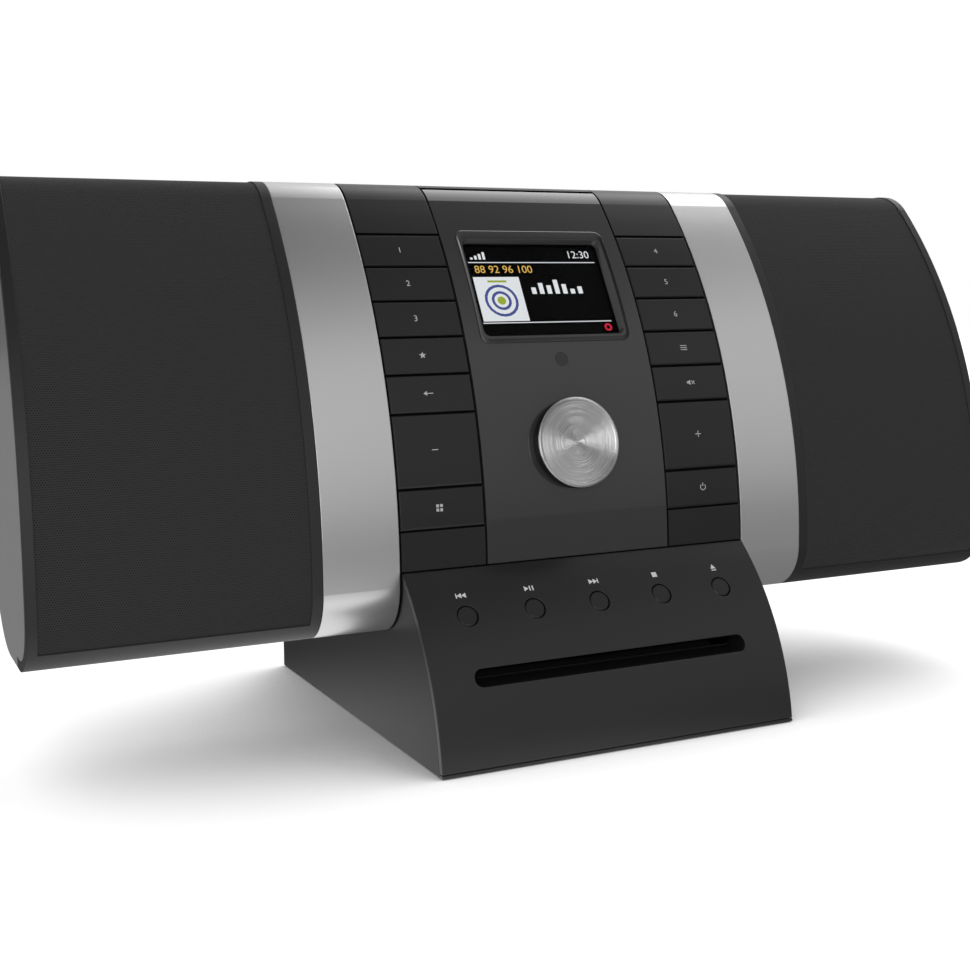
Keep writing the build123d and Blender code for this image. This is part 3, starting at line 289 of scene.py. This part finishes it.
def dress(finish, *names):
    """Give carried nodes a finish."""
    for name in names:
        data = nodes[name].data
        data.materials.clear()
        data.materials.append(finish.material)


dress(silver, "left_speaker_cabinet", "right_speaker_cabinet")

# ---------------------------------------------------------------- grilles
# A black plastic frame clips into the cabinet's front and wraps over its top. Knitted cloth is
# stretched over the frame, and tucked in behind the frame's rim all round.
rim_black = Finish("grille_frame_plastic", {})
rim_mottle = rim_black.noise(900.0)
rim_black.vary(rim_mottle, grey(27), grey(34), (0.38, 0.53))
rim_black.relief(rim_mottle, 0.03 * mm, 0.4, edge=0.5 * mm)
dress(rim_black, "left_grille_frame", "right_grille_frame")

# The body's side view: an arc of large radius, which bends into the brow above and the toe below.
front_y = -97.5 * mm
belly_setback = 37.2 * mm
body_low, body_high = 46.0 * mm, 230.0 * mm
front_radius, toe_radius, brow_radius = 230.0 * mm, 21.0 * mm, 22.0 * mm
# An axis runs along X, and is given by its Y and Z.
front_axis = (front_y + belly_setback + front_radius, 73.0 * mm)
cloth_low = 54.7 * mm
cloth_back = front_y + 136.0 * mm
cloth_inset, cloth_thickness = 0.4 * mm, 0.6 * mm
cloth_columns, cloth_rows = 48, 120


def cloth_line(inset):
    """The cloth's side view from its lower edge to its rear edge: points, evenly spaced."""
    axis_y, axis_z = front_axis
    toe_z, brow_z = body_low + toe_radius, body_high - brow_radius
    toe_reach, brow_reach = front_radius - toe_radius, front_radius - brow_radius
    toe_y = axis_y - sqrt(toe_reach ** 2 - (toe_z - axis_z) ** 2)
    brow_y = axis_y - sqrt(brow_reach ** 2 - (brow_z - axis_z) ** 2)
    toe_turn = asin((toe_z - axis_z) / toe_reach)
    brow_turn = asin((brow_z - axis_z) / brow_reach)
    start = -asin((toe_z - cloth_low) / (toe_radius - inset))
    runs = [(toe_y, toe_z, toe_radius - inset, start, toe_turn),
            (axis_y, axis_z, front_radius - inset, toe_turn, brow_turn),
            (brow_y, brow_z, brow_radius - inset, brow_turn, pi / 2)]
    lengths = [radius * (last - first) for _, _, radius, first, last in runs]
    total = sum(lengths) + cloth_back - brow_y
    line = []
    for step in range(cloth_rows + 1):
        along = total * step / cloth_rows
        left = along
        for (y, z, radius, first, _), length in zip(runs, lengths):
            if left <= length:
                turn = first + left / radius
                line.append((y - radius * cos(turn), z + radius * sin(turn), along))
                break
            left -= length
        else:
            line.append((brow_y + left, body_high - inset, along))
    return line


# The knit: round holes in rows that are offset by half a hole, as a honeycomb's are.
hole_pitch = 1.0 * mm
row_share = 0.866
row_pitch = hole_pitch * row_share
hole_radius, hole_edge = 0.30, 8.0
cloth_grey = Finish("speaker_cloth", {"Sheen Weight": 0.12, "Sheen Roughness": 0.4,
                                      "Specular IOR Level": 0.25})
weave = cloth_grey.node("ShaderNodeUVMap", {}, uv_map="weave")
weave_x, weave_y = [cloth_grey.node("ShaderNodeSeparateXYZ", {0: weave}, axis) for axis in "XY"]
row = (weave_y / row_pitch).math("FLOOR")
across = (weave_x / hole_pitch + row * 0.5).math("FRACT") - 0.5
up = ((weave_y / row_pitch).math("FRACT") - 0.5) * row_share
hole = (across * across + up * up).math("SQRT").climb(hole_radius, -hole_edge)
thread = cloth_grey.noise(420.0, 3.0, weave)
thread_colour = cloth_grey.blend(thread, grey(52), grey(64))
cloth_grey.vary(hole, thread_colour, grey(20), (0.75, 0.95), wear=thread)
cloth_grey.relief(1.0 - hole, 0.12 * mm, 0.6)


def deselect():
    """Deselect everything, so that the next operator works on its own piece alone."""
    bpy.ops.object.select_all(action="DESELECT")


side_view = cloth_line(cloth_inset)
for side in ("left", "right"):
    low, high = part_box(f"{side}_grille_cloth")
    deselect()
    bpy.ops.mesh.primitive_grid_add(x_subdivisions=cloth_columns, y_subdivisions=cloth_rows,
                                    size=1.0, location=(0, 0, 0))
    cloth = bpy.context.object
    cloth.name = f"{side}_cloth"
    weave_map = cloth.data.uv_layers[0]
    weave_map.name = "weave"
    places = {}
    for vertex in cloth.data.vertices:
        x = low.x + (high.x - low.x) * (vertex.co.x + 0.5)
        y, z, along = side_view[round((vertex.co.y + 0.5) * cloth_rows)]
        vertex.co = (x, y, z)
        places[vertex.index] = (x, along)
    for loop in cloth.data.loops:
        weave_map.data[loop.index].uv = places[loop.vertex_index]
    solid = cloth.modifiers.new("thickness", "SOLIDIFY")
    solid.thickness = cloth_thickness
    solid.offset = -1.0
    bpy.ops.object.modifier_apply(modifier="thickness")
    bpy.ops.object.shade_smooth_by_angle(angle=radians(40))
    cloth.data.materials.append(cloth_grey.material)
    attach(cloth, "cabinet")
    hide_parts(f"{side}_grille_cloth")

# ---------------------------------------------------------------- centre unit
# A moulded black shell closes the back, top and sides. A curved deck, screwed into its mouth,
# carries the keys and the display, and stays in shadow behind the dark lines between them.
shell_black = Finish("moulded_black", {"Specular IOR Level": 0.45})
shell_grain = shell_black.noise(1500.0)
shell_black.vary(shell_black.noise(22.0), grey(28), grey(33), (0.32, 0.44), wear=shell_grain)
shell_black.relief(shell_grain, 0.04 * mm, 0.5, edge=0.4 * mm)
dress(shell_black, "centre_shell")

deck_black = Finish("deck_black", {"Specular IOR Level": 0.15})
deck_black.vary(deck_black.noise(800.0), grey(8), grey(14), (0.6, 0.8))
dress(deck_black, "front_deck")

# ---------------------------------------------------------------- keys
# Each key is a curved cap of satin black plastic, with a small sign printed near its middle.
# Its stem runs in the deck. Plain trims of the same moulding close the columns at both ends.
key_satin = Finish("key_satin", {"Specular IOR Level": 0.38})
key_grain = key_satin.noise(2200.0)
key_satin.vary(key_satin.noise(30.0), grey(32), grey(37), (0.29, 0.35), wear=key_grain)
key_satin.relief(key_grain, 0.02 * mm, 0.4, edge=0.3 * mm)
key_names = ["key_1", "key_2", "key_3", "key_preset", "key_back", "key_volume_down", "key_mode",
             "key_4", "key_5", "key_6", "key_menu", "key_mute", "key_volume_up", "key_power"]
dress(key_satin, "key_trims", *key_names)


def ink(name, dark, light):
    """Matt printing ink, which covers a little unevenly."""
    print_ink = Finish(name, {"Specular IOR Level": 0.2})
    print_ink.vary(print_ink.noise(3500.0), dark, light, (0.5, 0.7))
    return print_ink


def dash(x, y, width, height, turn=0.0):
    """A flat printed bar."""
    deselect()
    bpy.ops.mesh.primitive_plane_add(size=1.0, location=(x, y, 0), rotation=(0, 0, turn))
    bar = bpy.context.object
    bar.scale = (width, height, 1)
    return bar


def wedge(x, y, radius, turn):
    """A flat printed triangle, which points along X before it is turned."""
    deselect()
    bpy.ops.mesh.primitive_circle_add(vertices=3, radius=radius, fill_type="NGON",
                                      location=(x, y, 0), rotation=(0, 0, turn - pi / 2))
    return bpy.context.object


ring_steps = 20


def ring(x, y, radius, width, start=0.0, end=2 * pi):
    """A flat printed ring, or its arc between two turns from X."""
    deselect()
    bpy.ops.mesh.primitive_grid_add(x_subdivisions=ring_steps, y_subdivisions=1, size=1.0)
    band = bpy.context.object
    for vertex in band.data.vertices:
        turn = start + (end - start) * (vertex.co.x + 0.5)
        reach = radius - vertex.co.y * width
        vertex.co = (x + reach * cos(turn), y + reach * sin(turn), 0)
    return band


# A text's size over the height of its figures.
figure_scale = 1.45


def digits(text, height, x=0.0, y=0.0):
    """Plain numbers, centred on a place."""
    deselect()
    bpy.ops.object.text_add(location=(x, y, 0))
    number = bpy.context.object
    number.data.body = text
    number.data.size = height * figure_scale
    number.data.align_x = "CENTER"
    number.data.align_y = "CENTER"
    bpy.ops.object.convert(target="MESH")
    return bpy.context.object


def star(radius, notch):
    """A five-pointed star, whose notches reach a share of its radius."""
    deselect()
    bpy.ops.mesh.primitive_circle_add(vertices=10, radius=radius, fill_type="NGON")
    shape = bpy.context.object
    for vertex in shape.data.vertices:
        if vertex.index % 2:
            vertex.co *= notch
    return shape


def finish_mark(name, pieces, place, finish, body):
    """Join the pieces of a printed mark, lay them on a surface and let them ride with it."""
    deselect()
    for piece in pieces:
        piece.select_set(True)
    bpy.context.view_layer.objects.active = pieces[0]
    bpy.ops.object.transform_apply(location=True, rotation=True, scale=True)
    if len(pieces) > 1:
        bpy.ops.object.join()
    mark = bpy.context.object
    mark.name = name
    for face in mark.data.polygons:
        if face.normal.z < 0:
            face.flip()
    mark.data.transform(place)
    mark.data.materials.clear()
    mark.data.materials.append(finish.material)
    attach(mark, body)


def turn_of(spot, axis):
    """How far up a spot is round the axis of a curved front, from straight ahead."""
    axis_y, axis_z = axis
    return atan2(spot.z - axis_z, axis_y - spot.y)


def reach_of(spot, axis):
    """How far a spot is from the axis of a curved front."""
    axis_y, axis_z = axis
    return hypot(spot.y - axis_y, spot.z - axis_z)


def on_front(x, axis, reach, turn):
    """A place on a curved front, for a mark that lies with X across and Y up."""
    return (Matrix.Translation((x, *axis)) @ Matrix.Rotation(-turn, 4, "X")
            @ Matrix.Translation((0, -reach, 0)) @ Matrix.Rotation(pi / 2, 4, "X"))


def sign_pieces(key, h, w):
    """The printed pieces of a key's sign, from its height and the width of its lines."""
    signs = {
        "key_preset": lambda: [star(0.62 * h, 0.42)],
        "key_back": lambda: [dash(0.25 * h, 0, 1.1 * h, w), wedge(-0.45 * h, 0, 0.42 * h, pi)],
        "key_volume_down": lambda: [dash(0, 0, 1.1 * h, w)],
        "key_volume_up": lambda: [dash(0, 0, 1.1 * h, w), dash(0, 0, w, 1.1 * h)],
        "key_mode": lambda: [dash(x * 0.32 * h, y * 0.32 * h, 0.46 * h, 0.46 * h)
                             for x in (-1, 1) for y in (-1, 1)],
        "key_menu": lambda: [dash(0, y * 0.36 * h, 1.3 * h, w) for y in (-1, 0, 1)],
        "key_mute": lambda: [dash(-0.55 * h, 0, 0.3 * h, 0.4 * h), wedge(-0.28 * h, 0, 0.5 * h, pi),
                             dash(0.5 * h, 0, 0.8 * h, w, pi / 4),
                             dash(0.5 * h, 0, 0.8 * h, w, -pi / 4)],
        "key_power": lambda: [ring(0, 0, 0.5 * h, w, radians(130), radians(410)),
                              dash(0, 0.42 * h, w, 0.6 * h)],
    }
    return signs[key]() if key in signs else [digits(key[-1], h)]


sign_height, sign_line = 2.6 * mm, 0.34 * mm
# Ink stands this far off its surface, and the left column's signs this far off the middle.
ink_lift, sign_shift = 0.03 * mm, 1.2 * mm
# The cap is the part of a key that lies on the body's front arc, give or take this much.
cap_slack = 0.01 * mm
sign_ink = ink("sign_ink", grey(186), grey(212))
body_of = {name: body for body, names in frame["record"]["behaviour"]["bodies"].items()
           for name in names}
for key in key_names:
    low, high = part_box(key)
    middle = (low.x + high.x) / 2
    if middle < 0:
        middle -= sign_shift
    turns = [turn_of(vertex.co, front_axis) for vertex in nodes[key].data.vertices
             if abs(reach_of(vertex.co, front_axis) - front_radius) < cap_slack]
    cap_place = on_front(middle, front_axis, front_radius + ink_lift, (min(turns) + max(turns)) / 2)
    finish_mark("sign_" + key.removeprefix("key_"), sign_pieces(key, sign_height, sign_line),
                cap_place, sign_ink, body_of[key])

# ---------------------------------------------------------------- display fascia
# A glossy black panel, moulded with a deep frame round the display and held by the deck. The
# remote control's receiver looks out through a small dark window under the display.
fascia_gloss = Finish("fascia_gloss", {"Coat Weight": 0.9, "Coat Roughness": 0.04,
                                       "Specular IOR Level": 0.15})
fascia_swirl = fascia_gloss.noise(4000.0, 1.0)
fascia_gloss.vary(fascia_gloss.noise(14.0), grey(54), grey(59), (0.22, 0.27), wear=fascia_swirl)
fascia_gloss.relief(fascia_swirl, 0.01 * mm, 0.15, edge=0.4 * mm)
dress(fascia_gloss, "display_fascia")

receiver_dark = Finish("receiver_window", {"Coat Weight": 0.4, "Coat Roughness": 0.05})
receiver_dark.vary(receiver_dark.noise(600.0, 1.0), tint(16, 10, 12), tint(28, 18, 20), (0.12, 0.17))
dress(receiver_dark, "ir_window")

# ---------------------------------------------------------------- display
# A clear plastic lens lies over a colour display, inside a raised lip that is moulded with the
# fascia. The picture is a plain one: signal bars, a clock, an amber dial, a level meter and a
# tile with rings.
lens_clear = Finish("display_lens", {"Transmission Weight": 1.0, "IOR": 1.12,
                                     "Base Color": (0.92, 0.94, 0.95, 1.0),
                                     "Specular IOR Level": 0.03})
lens_clear.drive("Roughness", lens_clear.noise(40.0) * 0.03 + 0.01)
dress(lens_clear, "display_window")

module_black = Finish("display_black", {"Specular IOR Level": 0.02})
module_black.vary(module_black.noise(5000.0, 1.0), grey(2), tint(3, 3, 5), (0.45, 0.55))
dress(module_black, "display_module")

lens_low, lens_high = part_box("display_window")
display_turn = turn_of((lens_low + lens_high) / 2, front_axis)

# The lip's half width, half height and corner, at its outer edge and at the opening.
lip_outer, lip_inner = (35.9 * mm, 27.6 * mm, 3.6 * mm), (34.6 * mm, 24.6 * mm, 2.6 * mm)
lip_rise = 0.8 * mm
lip_corner_steps, lip_side_steps = 6, 10
# The lip's section, a rounded bead that falls gently to the opening: the share of the way in,
# and the height over the panel in millimetres.
lip_section = [(0.0, -0.3), (0.0, 0.0), (0.03, 0.22), (0.09, 0.40), (0.17, 0.46), (0.27, 0.40),
               (0.40, 0.27), (1.0, 0.06), (1.0, -0.3), (0.0, -0.3)]


def lip_loop(half_x, half_y, corner):
    """A rounded rectangle's outline, as evenly counted points that end where they start."""
    corners = []
    for quarter, (side_x, side_y) in enumerate(((1, 1), (-1, 1), (-1, -1), (1, -1))):
        for step in range(lip_corner_steps + 1):
            turn = (quarter + step / lip_corner_steps) * pi / 2
            corners.append((side_x * (half_x - corner) + corner * cos(turn),
                            side_y * (half_y - corner) + corner * sin(turn)))
    points = []
    for index, (x, y) in enumerate(corners):
        points.append((x, y))
        next_x, next_y = corners[(index + 1) % len(corners)]
        if index % (lip_corner_steps + 1) == lip_corner_steps:
            points += [(x + (next_x - x) * step / lip_side_steps,
                        y + (next_y - y) * step / lip_side_steps) for step in range(1, lip_side_steps)]
    return points + points[:1]


outer_loop, inner_loop = lip_loop(*lip_outer), lip_loop(*lip_inner)
lip_steps, section_steps = len(outer_loop) - 1, len(lip_section) - 1
deselect()
bpy.ops.mesh.primitive_grid_add(x_subdivisions=lip_steps, y_subdivisions=section_steps, size=1.0,
                                location=(0, 0, 0))
display_lip = bpy.context.object
display_lip.name = "display_lip"
axis_y, axis_z = front_axis
for vertex in display_lip.data.vertices:
    station = round((vertex.co.x + 0.5) * lip_steps)
    share, height = lip_section[round((vertex.co.y + 0.5) * section_steps)]
    outer_x, outer_y = outer_loop[station]
    inner_x, inner_y = inner_loop[station]
    x = outer_x * (1 - share) + inner_x * share
    along = (outer_y + lip_rise) * (1 - share) + inner_y * share
    turn = display_turn + along / front_radius
    reach = front_radius + height * mm
    vertex.co = (x, axis_y - reach * cos(turn), axis_z + reach * sin(turn))
bpy.ops.object.mode_set(mode="EDIT")
bpy.ops.mesh.select_all(action="SELECT")
bpy.ops.mesh.remove_doubles(threshold=0.001 * mm)
bpy.ops.mesh.normals_make_consistent(inside=False)
bpy.ops.object.mode_set(mode="OBJECT")
bpy.ops.object.shade_smooth_by_angle(angle=radians(50))
lip_black = Finish("display_lip_black", {"Coat Weight": 0.9, "Coat Roughness": 0.06,
                                         "Specular IOR Level": 0.5})
lip_black.vary(lip_black.noise(300.0), grey(30), grey(36), (0.22, 0.28))
display_lip.data.materials.append(lip_black.material)
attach(display_lip, "cabinet")


# How much of its light is left between the display's picture elements.
element_gap_light = 0.82


def lit(name, *levels):
    """A lit area of the display, with its faint grid of picture elements."""
    colour = tint(*levels)
    light = Finish(name, {"Roughness": 0.6, "Specular IOR Level": 0.0, "Emission Strength": 1.0,
                          "Base Color": black})
    dim = tuple(element_gap_light * part for part in colour[:3]) + (1.0,)
    light.drive("Emission Color", light.blend(light.noise(2600.0, 0.0), dim, colour))
    return light


lit_white = lit("lit_white", 238, 240, 242)
lit_amber = lit("lit_amber", 236, 190, 96)
lit_red = lit("lit_red", 214, 40, 66)
lit_blue = lit("lit_blue", 78, 88, 150)
lit_green = lit("lit_green", 160, 178, 60)

module_face = max(reach_of(vertex.co, front_axis) * cos(turn_of(vertex.co, front_axis) - display_turn)
                  for vertex in nodes["display_module"].data.vertices)
first_layer, second_layer = [on_front(0, front_axis, module_face + lift, display_turn)
                             for lift in (0.02 * mm, 0.04 * mm)]
# The picture's sizes are in millimetres from the display's middle.
rule_length, rule_width = 62.0, 0.45
top_rule, low_rule = 14.2, -15.4
meter_heights = (3.2, 5.4, 4.2, 7.0, 4.8, 2.4, 3.6)
tile_x, tile_y, tile_width, tile_height = -19.7, -3.8, 21.8, 21.6
rings_y = -4.6


def patch(x, y, width, height):
    """A lit rectangle, with its sizes in millimetres."""
    return dash(x * mm, y * mm, width * mm, height * mm)


def hoop(x, y, radius, width):
    """A lit ring, with its sizes in millimetres."""
    return ring(x * mm, y * mm, radius * mm, width * mm)


whites = [patch(0, rule_y, rule_length, rule_width) for rule_y in (top_rule, low_rule)]
whites.append(digits("12:30", 3.6 * mm, 23.4 * mm, 18.0 * mm))
whites += [patch(-29 + 2 * bar, 16.2 + 0.45 * bar, 1.2, 1.0 + 0.9 * bar) for bar in range(4)]
whites += [patch(-3.0 + 3.8 * bar, -1.5 + height / 2, 2.2, height)
           for bar, height in enumerate(meter_heights)]
finish_mark("screen_white", whites, first_layer, lit_white, "cabinet")
finish_mark("screen_tile", [patch(tile_x, tile_y, tile_width, tile_height)], first_layer, lit_white,
            "cabinet")
finish_mark("screen_amber", [digits("88 92 96 100", 3.6 * mm, -15.0 * mm, 10.6 * mm)], first_layer,
            lit_amber, "cabinet")
finish_mark("screen_rings", [hoop(tile_x, rings_y, radius, 1.3) for radius in (4.0, 7.2)],
            second_layer, lit_blue, "cabinet")
finish_mark("screen_spot", [hoop(tile_x, rings_y, 1.0, 2.0), patch(tile_x, 4.8, 9.0, 1.0)],
            second_layer, lit_green, "cabinet")
finish_mark("screen_red", [hoop(28.6, -18.4, 1.4, 0.9)], first_layer, lit_red, "cabinet")

# ---------------------------------------------------------------- knob
# A black plastic knob with a spun aluminium cap pressed into its front: fine rings round the
# axis, a shallow dish, and a bright turned rim.
knob_low, knob_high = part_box("knob_cap")
knob_turn = turn_of((knob_low + knob_high) / 2, front_axis)
knob_axis = (0, -cos(knob_turn), sin(knob_turn))
spun = Finish("spun_aluminium", {"Metallic": 1.0})
from_axis = spun.node("ShaderNodeVectorMath", {0: spun.place(), 1: (0, *front_axis)},
                      operation="SUBTRACT")
off_axis = spun.node("ShaderNodeVectorMath", {0: from_axis, 1: knob_axis},
                     operation="CROSS_PRODUCT")
spun_reach = spun.node("ShaderNodeVectorMath", {0: off_axis}, "Value", operation="LENGTH")
groove, coarse = [spun.node("ShaderNodeTexNoise", {"W": spun_reach * rings, "Scale": 1.0, "Detail": 1.0},
                            noise_dimensions="1D") for rings in (9000.0, 1400.0)]
spun.vary(coarse, grey(196), grey(206), (0.20, 0.24))
spun.relief(groove, 0.08 * mm)
dress(spun, "knob_cap")

knob_black = Finish("knob_black", {"Specular IOR Level": 0.35})
knob_black.vary(knob_black.noise(1800.0), grey(28), grey(36), (0.32, 0.44))
dress(knob_black, "knob_skirt")

# ---------------------------------------------------------------- disc stand
# A black moulded housing with a smoother curved front panel, screwed to a base plate that shows
# as a thin plinth. A felt ring closes the slot, and rubber feet and a rubber roller are inside
# and below.
for plastic, gloss, dark, light, smooth, pieces in (
        ("stand_matt", 0.50, 29, 34, 0.30, ("stand_fascia", "base_plate")),
        ("housing_matt", 0.28, 27, 32, 0.38, ("stand_housing",))):
    matt = Finish(plastic, {"Specular IOR Level": gloss})
    matt_grain = matt.noise(1700.0, 3.0)
    matt.vary(matt.noise(18.0), grey(dark), grey(light), (smooth, smooth + 0.10), wear=matt_grain)
    matt.relief(matt_grain, 0.04 * mm, 0.5, edge=0.6 * mm)
    dress(matt, *pieces)

felt_black = Finish("felt_black", {"Sheen Weight": 0.05, "Specular IOR Level": 0.05})
felt_fibre = felt_black.noise(1400.0, 4.0)
felt_black.vary(felt_fibre, grey(5), grey(11), (0.85, 0.95))
felt_black.relief(felt_fibre, 0.2 * mm, 0.6)
dress(felt_black, "dust_seal")

rubber_black = Finish("rubber_black", {"Specular IOR Level": 0.2})
rubber_bloom = rubber_black.noise(700.0, 3.0)
rubber_black.vary(rubber_bloom, grey(24), grey(34), (0.7, 0.85))
rubber_black.relief(rubber_bloom, 0.08 * mm, 0.5)
dress(rubber_black, "feet", "feed_roller")

# ---------------------------------------------------------------- disc buttons
# Five round buttons of satin black plastic over the slot, each in a dark gap, on a switch
# behind the panel. The sign of each is printed on the panel above it.
button_satin = Finish("button_satin", {"Specular IOR Level": 0.5})
button_satin.vary(button_satin.noise(2600.0), grey(27), grey(33), (0.28, 0.38))
button_names = ["button_previous", "button_play", "button_next", "button_stop", "button_eject"]
dress(button_satin, *button_names)

# The panel's side view is an arc from its foot to its top, which leans back.
stand_radius, stand_high, stand_lean = 110.0 * mm, 72.0 * mm, 36.2 * mm
stand_chord = hypot(stand_lean, stand_high)
stand_sag = sqrt(stand_radius ** 2 - (stand_chord / 2) ** 2)
stand_axis = (front_y + stand_lean / 2 + stand_sag * stand_high / stand_chord,
              stand_high / 2 - stand_sag * stand_lean / stand_chord)
symbol_rise, symbol_height = 9.0 * mm, 2.2 * mm
# A button's face is the part of it that lies at most this far under the panel's arc.
face_depth = 0.3 * mm
symbol_ink = ink("symbol_ink", grey(226), grey(244))


def symbol_pieces(button, h):
    """The printed pieces of a disc button's symbol, from its height."""
    if button == "button_previous":
        return [dash(-1.05 * h, 0, 0.22 * h, h), wedge(-0.35 * h, 0, 0.62 * h, pi),
                wedge(0.55 * h, 0, 0.62 * h, pi)]
    if button == "button_play":
        return [wedge(-0.6 * h, 0, 0.62 * h, 0), dash(0.25 * h, 0, 0.26 * h, h),
                dash(0.85 * h, 0, 0.26 * h, h)]
    if button == "button_next":
        return [wedge(-0.55 * h, 0, 0.62 * h, 0), wedge(0.35 * h, 0, 0.62 * h, 0),
                dash(1.05 * h, 0, 0.22 * h, h)]
    if button == "button_stop":
        return [dash(0, 0, 1.05 * h, 1.05 * h)]
    return [wedge(0, 0.25 * h, 0.68 * h, pi / 2), dash(0, -0.42 * h, 1.1 * h, 0.22 * h)]


for button in button_names:
    low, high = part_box(button)
    face = [vertex.co for vertex in nodes[button].data.vertices
            if reach_of(vertex.co, stand_axis) > stand_radius - face_depth]
    turn = turn_of(sum(face, Vector()) / len(face), stand_axis) + symbol_rise / stand_radius
    symbol_place = on_front((low.x + high.x) / 2, stand_axis, stand_radius + ink_lift, turn)
    finish_mark("symbol_" + button.removeprefix("button_"), symbol_pieces(button, symbol_height),
                symbol_place, symbol_ink, "cabinet")

# ---------------------------------------------------------------- speaker drivers
# Behind each cloth a black paper cone hangs by a rubber roll in a pressed steel frame, which is
# screwed to a board of wood fibre. The same steel makes the transport's chassis.
paper_black = Finish("cone_paper", {"Specular IOR Level": 0.2})
paper_fibre = paper_black.noise(900.0, 4.0)
paper_black.vary(paper_fibre, grey(26), grey(40), (0.8, 0.9))
paper_black.relief(paper_fibre, 0.1 * mm, 0.5)
dress(paper_black, "left_driver_cone", "right_driver_cone")

frame_steel = Finish("pressed_steel", {"Metallic": 0.8})
frame_steel.vary(frame_steel.noise(120.0, 3.0), grey(70), grey(92), (0.4, 0.55))
dress(frame_steel, "left_driver_basket", "right_driver_basket", "cd_chassis", "spindle_motor",
      "encoder")

board_brown = Finish("fibre_board", {"Specular IOR Level": 0.15})
board_chips = board_brown.noise(350.0, 4.0)
board_brown.vary(board_chips, tint(72, 54, 38), tint(112, 88, 62), (0.8, 0.9))
board_brown.relief(board_chips, 0.2 * mm, 0.5)
dress(board_brown, "left_baffle", "right_baffle")

# ---------------------------------------------------------------- boards and disc transport
# Green circuit boards are screwed behind the deck and into the stand. The disc transport is of
# grey plastic, and the shaft and the screws are of bright turned steel.
board_green = Finish("circuit_board", {"Specular IOR Level": 0.4})
board_tracks = board_green.noise(500.0, 1.0)
board_green.vary(board_tracks > 0.55, tint(14, 58, 36), tint(30, 88, 54), (0.35, 0.55),
                 wear=board_tracks)
dress(board_green, "control_board", "main_board", "button_board")

transport_grey = Finish("transport_plastic", {"Specular IOR Level": 0.3})
transport_grey.vary(transport_grey.noise(900.0, 3.0), grey(44), grey(56), (0.5, 0.65))
dress(transport_grey, "disc_guide", "turntable", "laser_sled", "encoder_plunger")

turned_steel = Finish("turned_steel", {"Metallic": 1.0})
steel_lines = turned_steel.noise(3000.0)
turned_steel.vary(steel_lines, grey(150), grey(190), (0.28, 0.40))
turned_steel.relief(steel_lines, 0.03 * mm, 0.4)
dress(turned_steel, "knob_shaft", "screws")

# ---------------------------------------------------------------- rear sockets
# A black plastic inlet for the mains adaptor and a nickel-plated aerial socket, both fixed
# flush in the stand's back wall.
inlet_black = Finish("inlet_black", {"Specular IOR Level": 0.4})
inlet_black.vary(inlet_black.noise(1500.0), grey(20), grey(30), (0.35, 0.47))
dress(inlet_black, "power_inlet")

socket_nickel = Finish("socket_nickel", {"Metallic": 1.0})
socket_nickel.vary(socket_nickel.noise(500.0), grey(168), grey(196), (0.28, 0.38))
dress(socket_nickel, "antenna_socket")
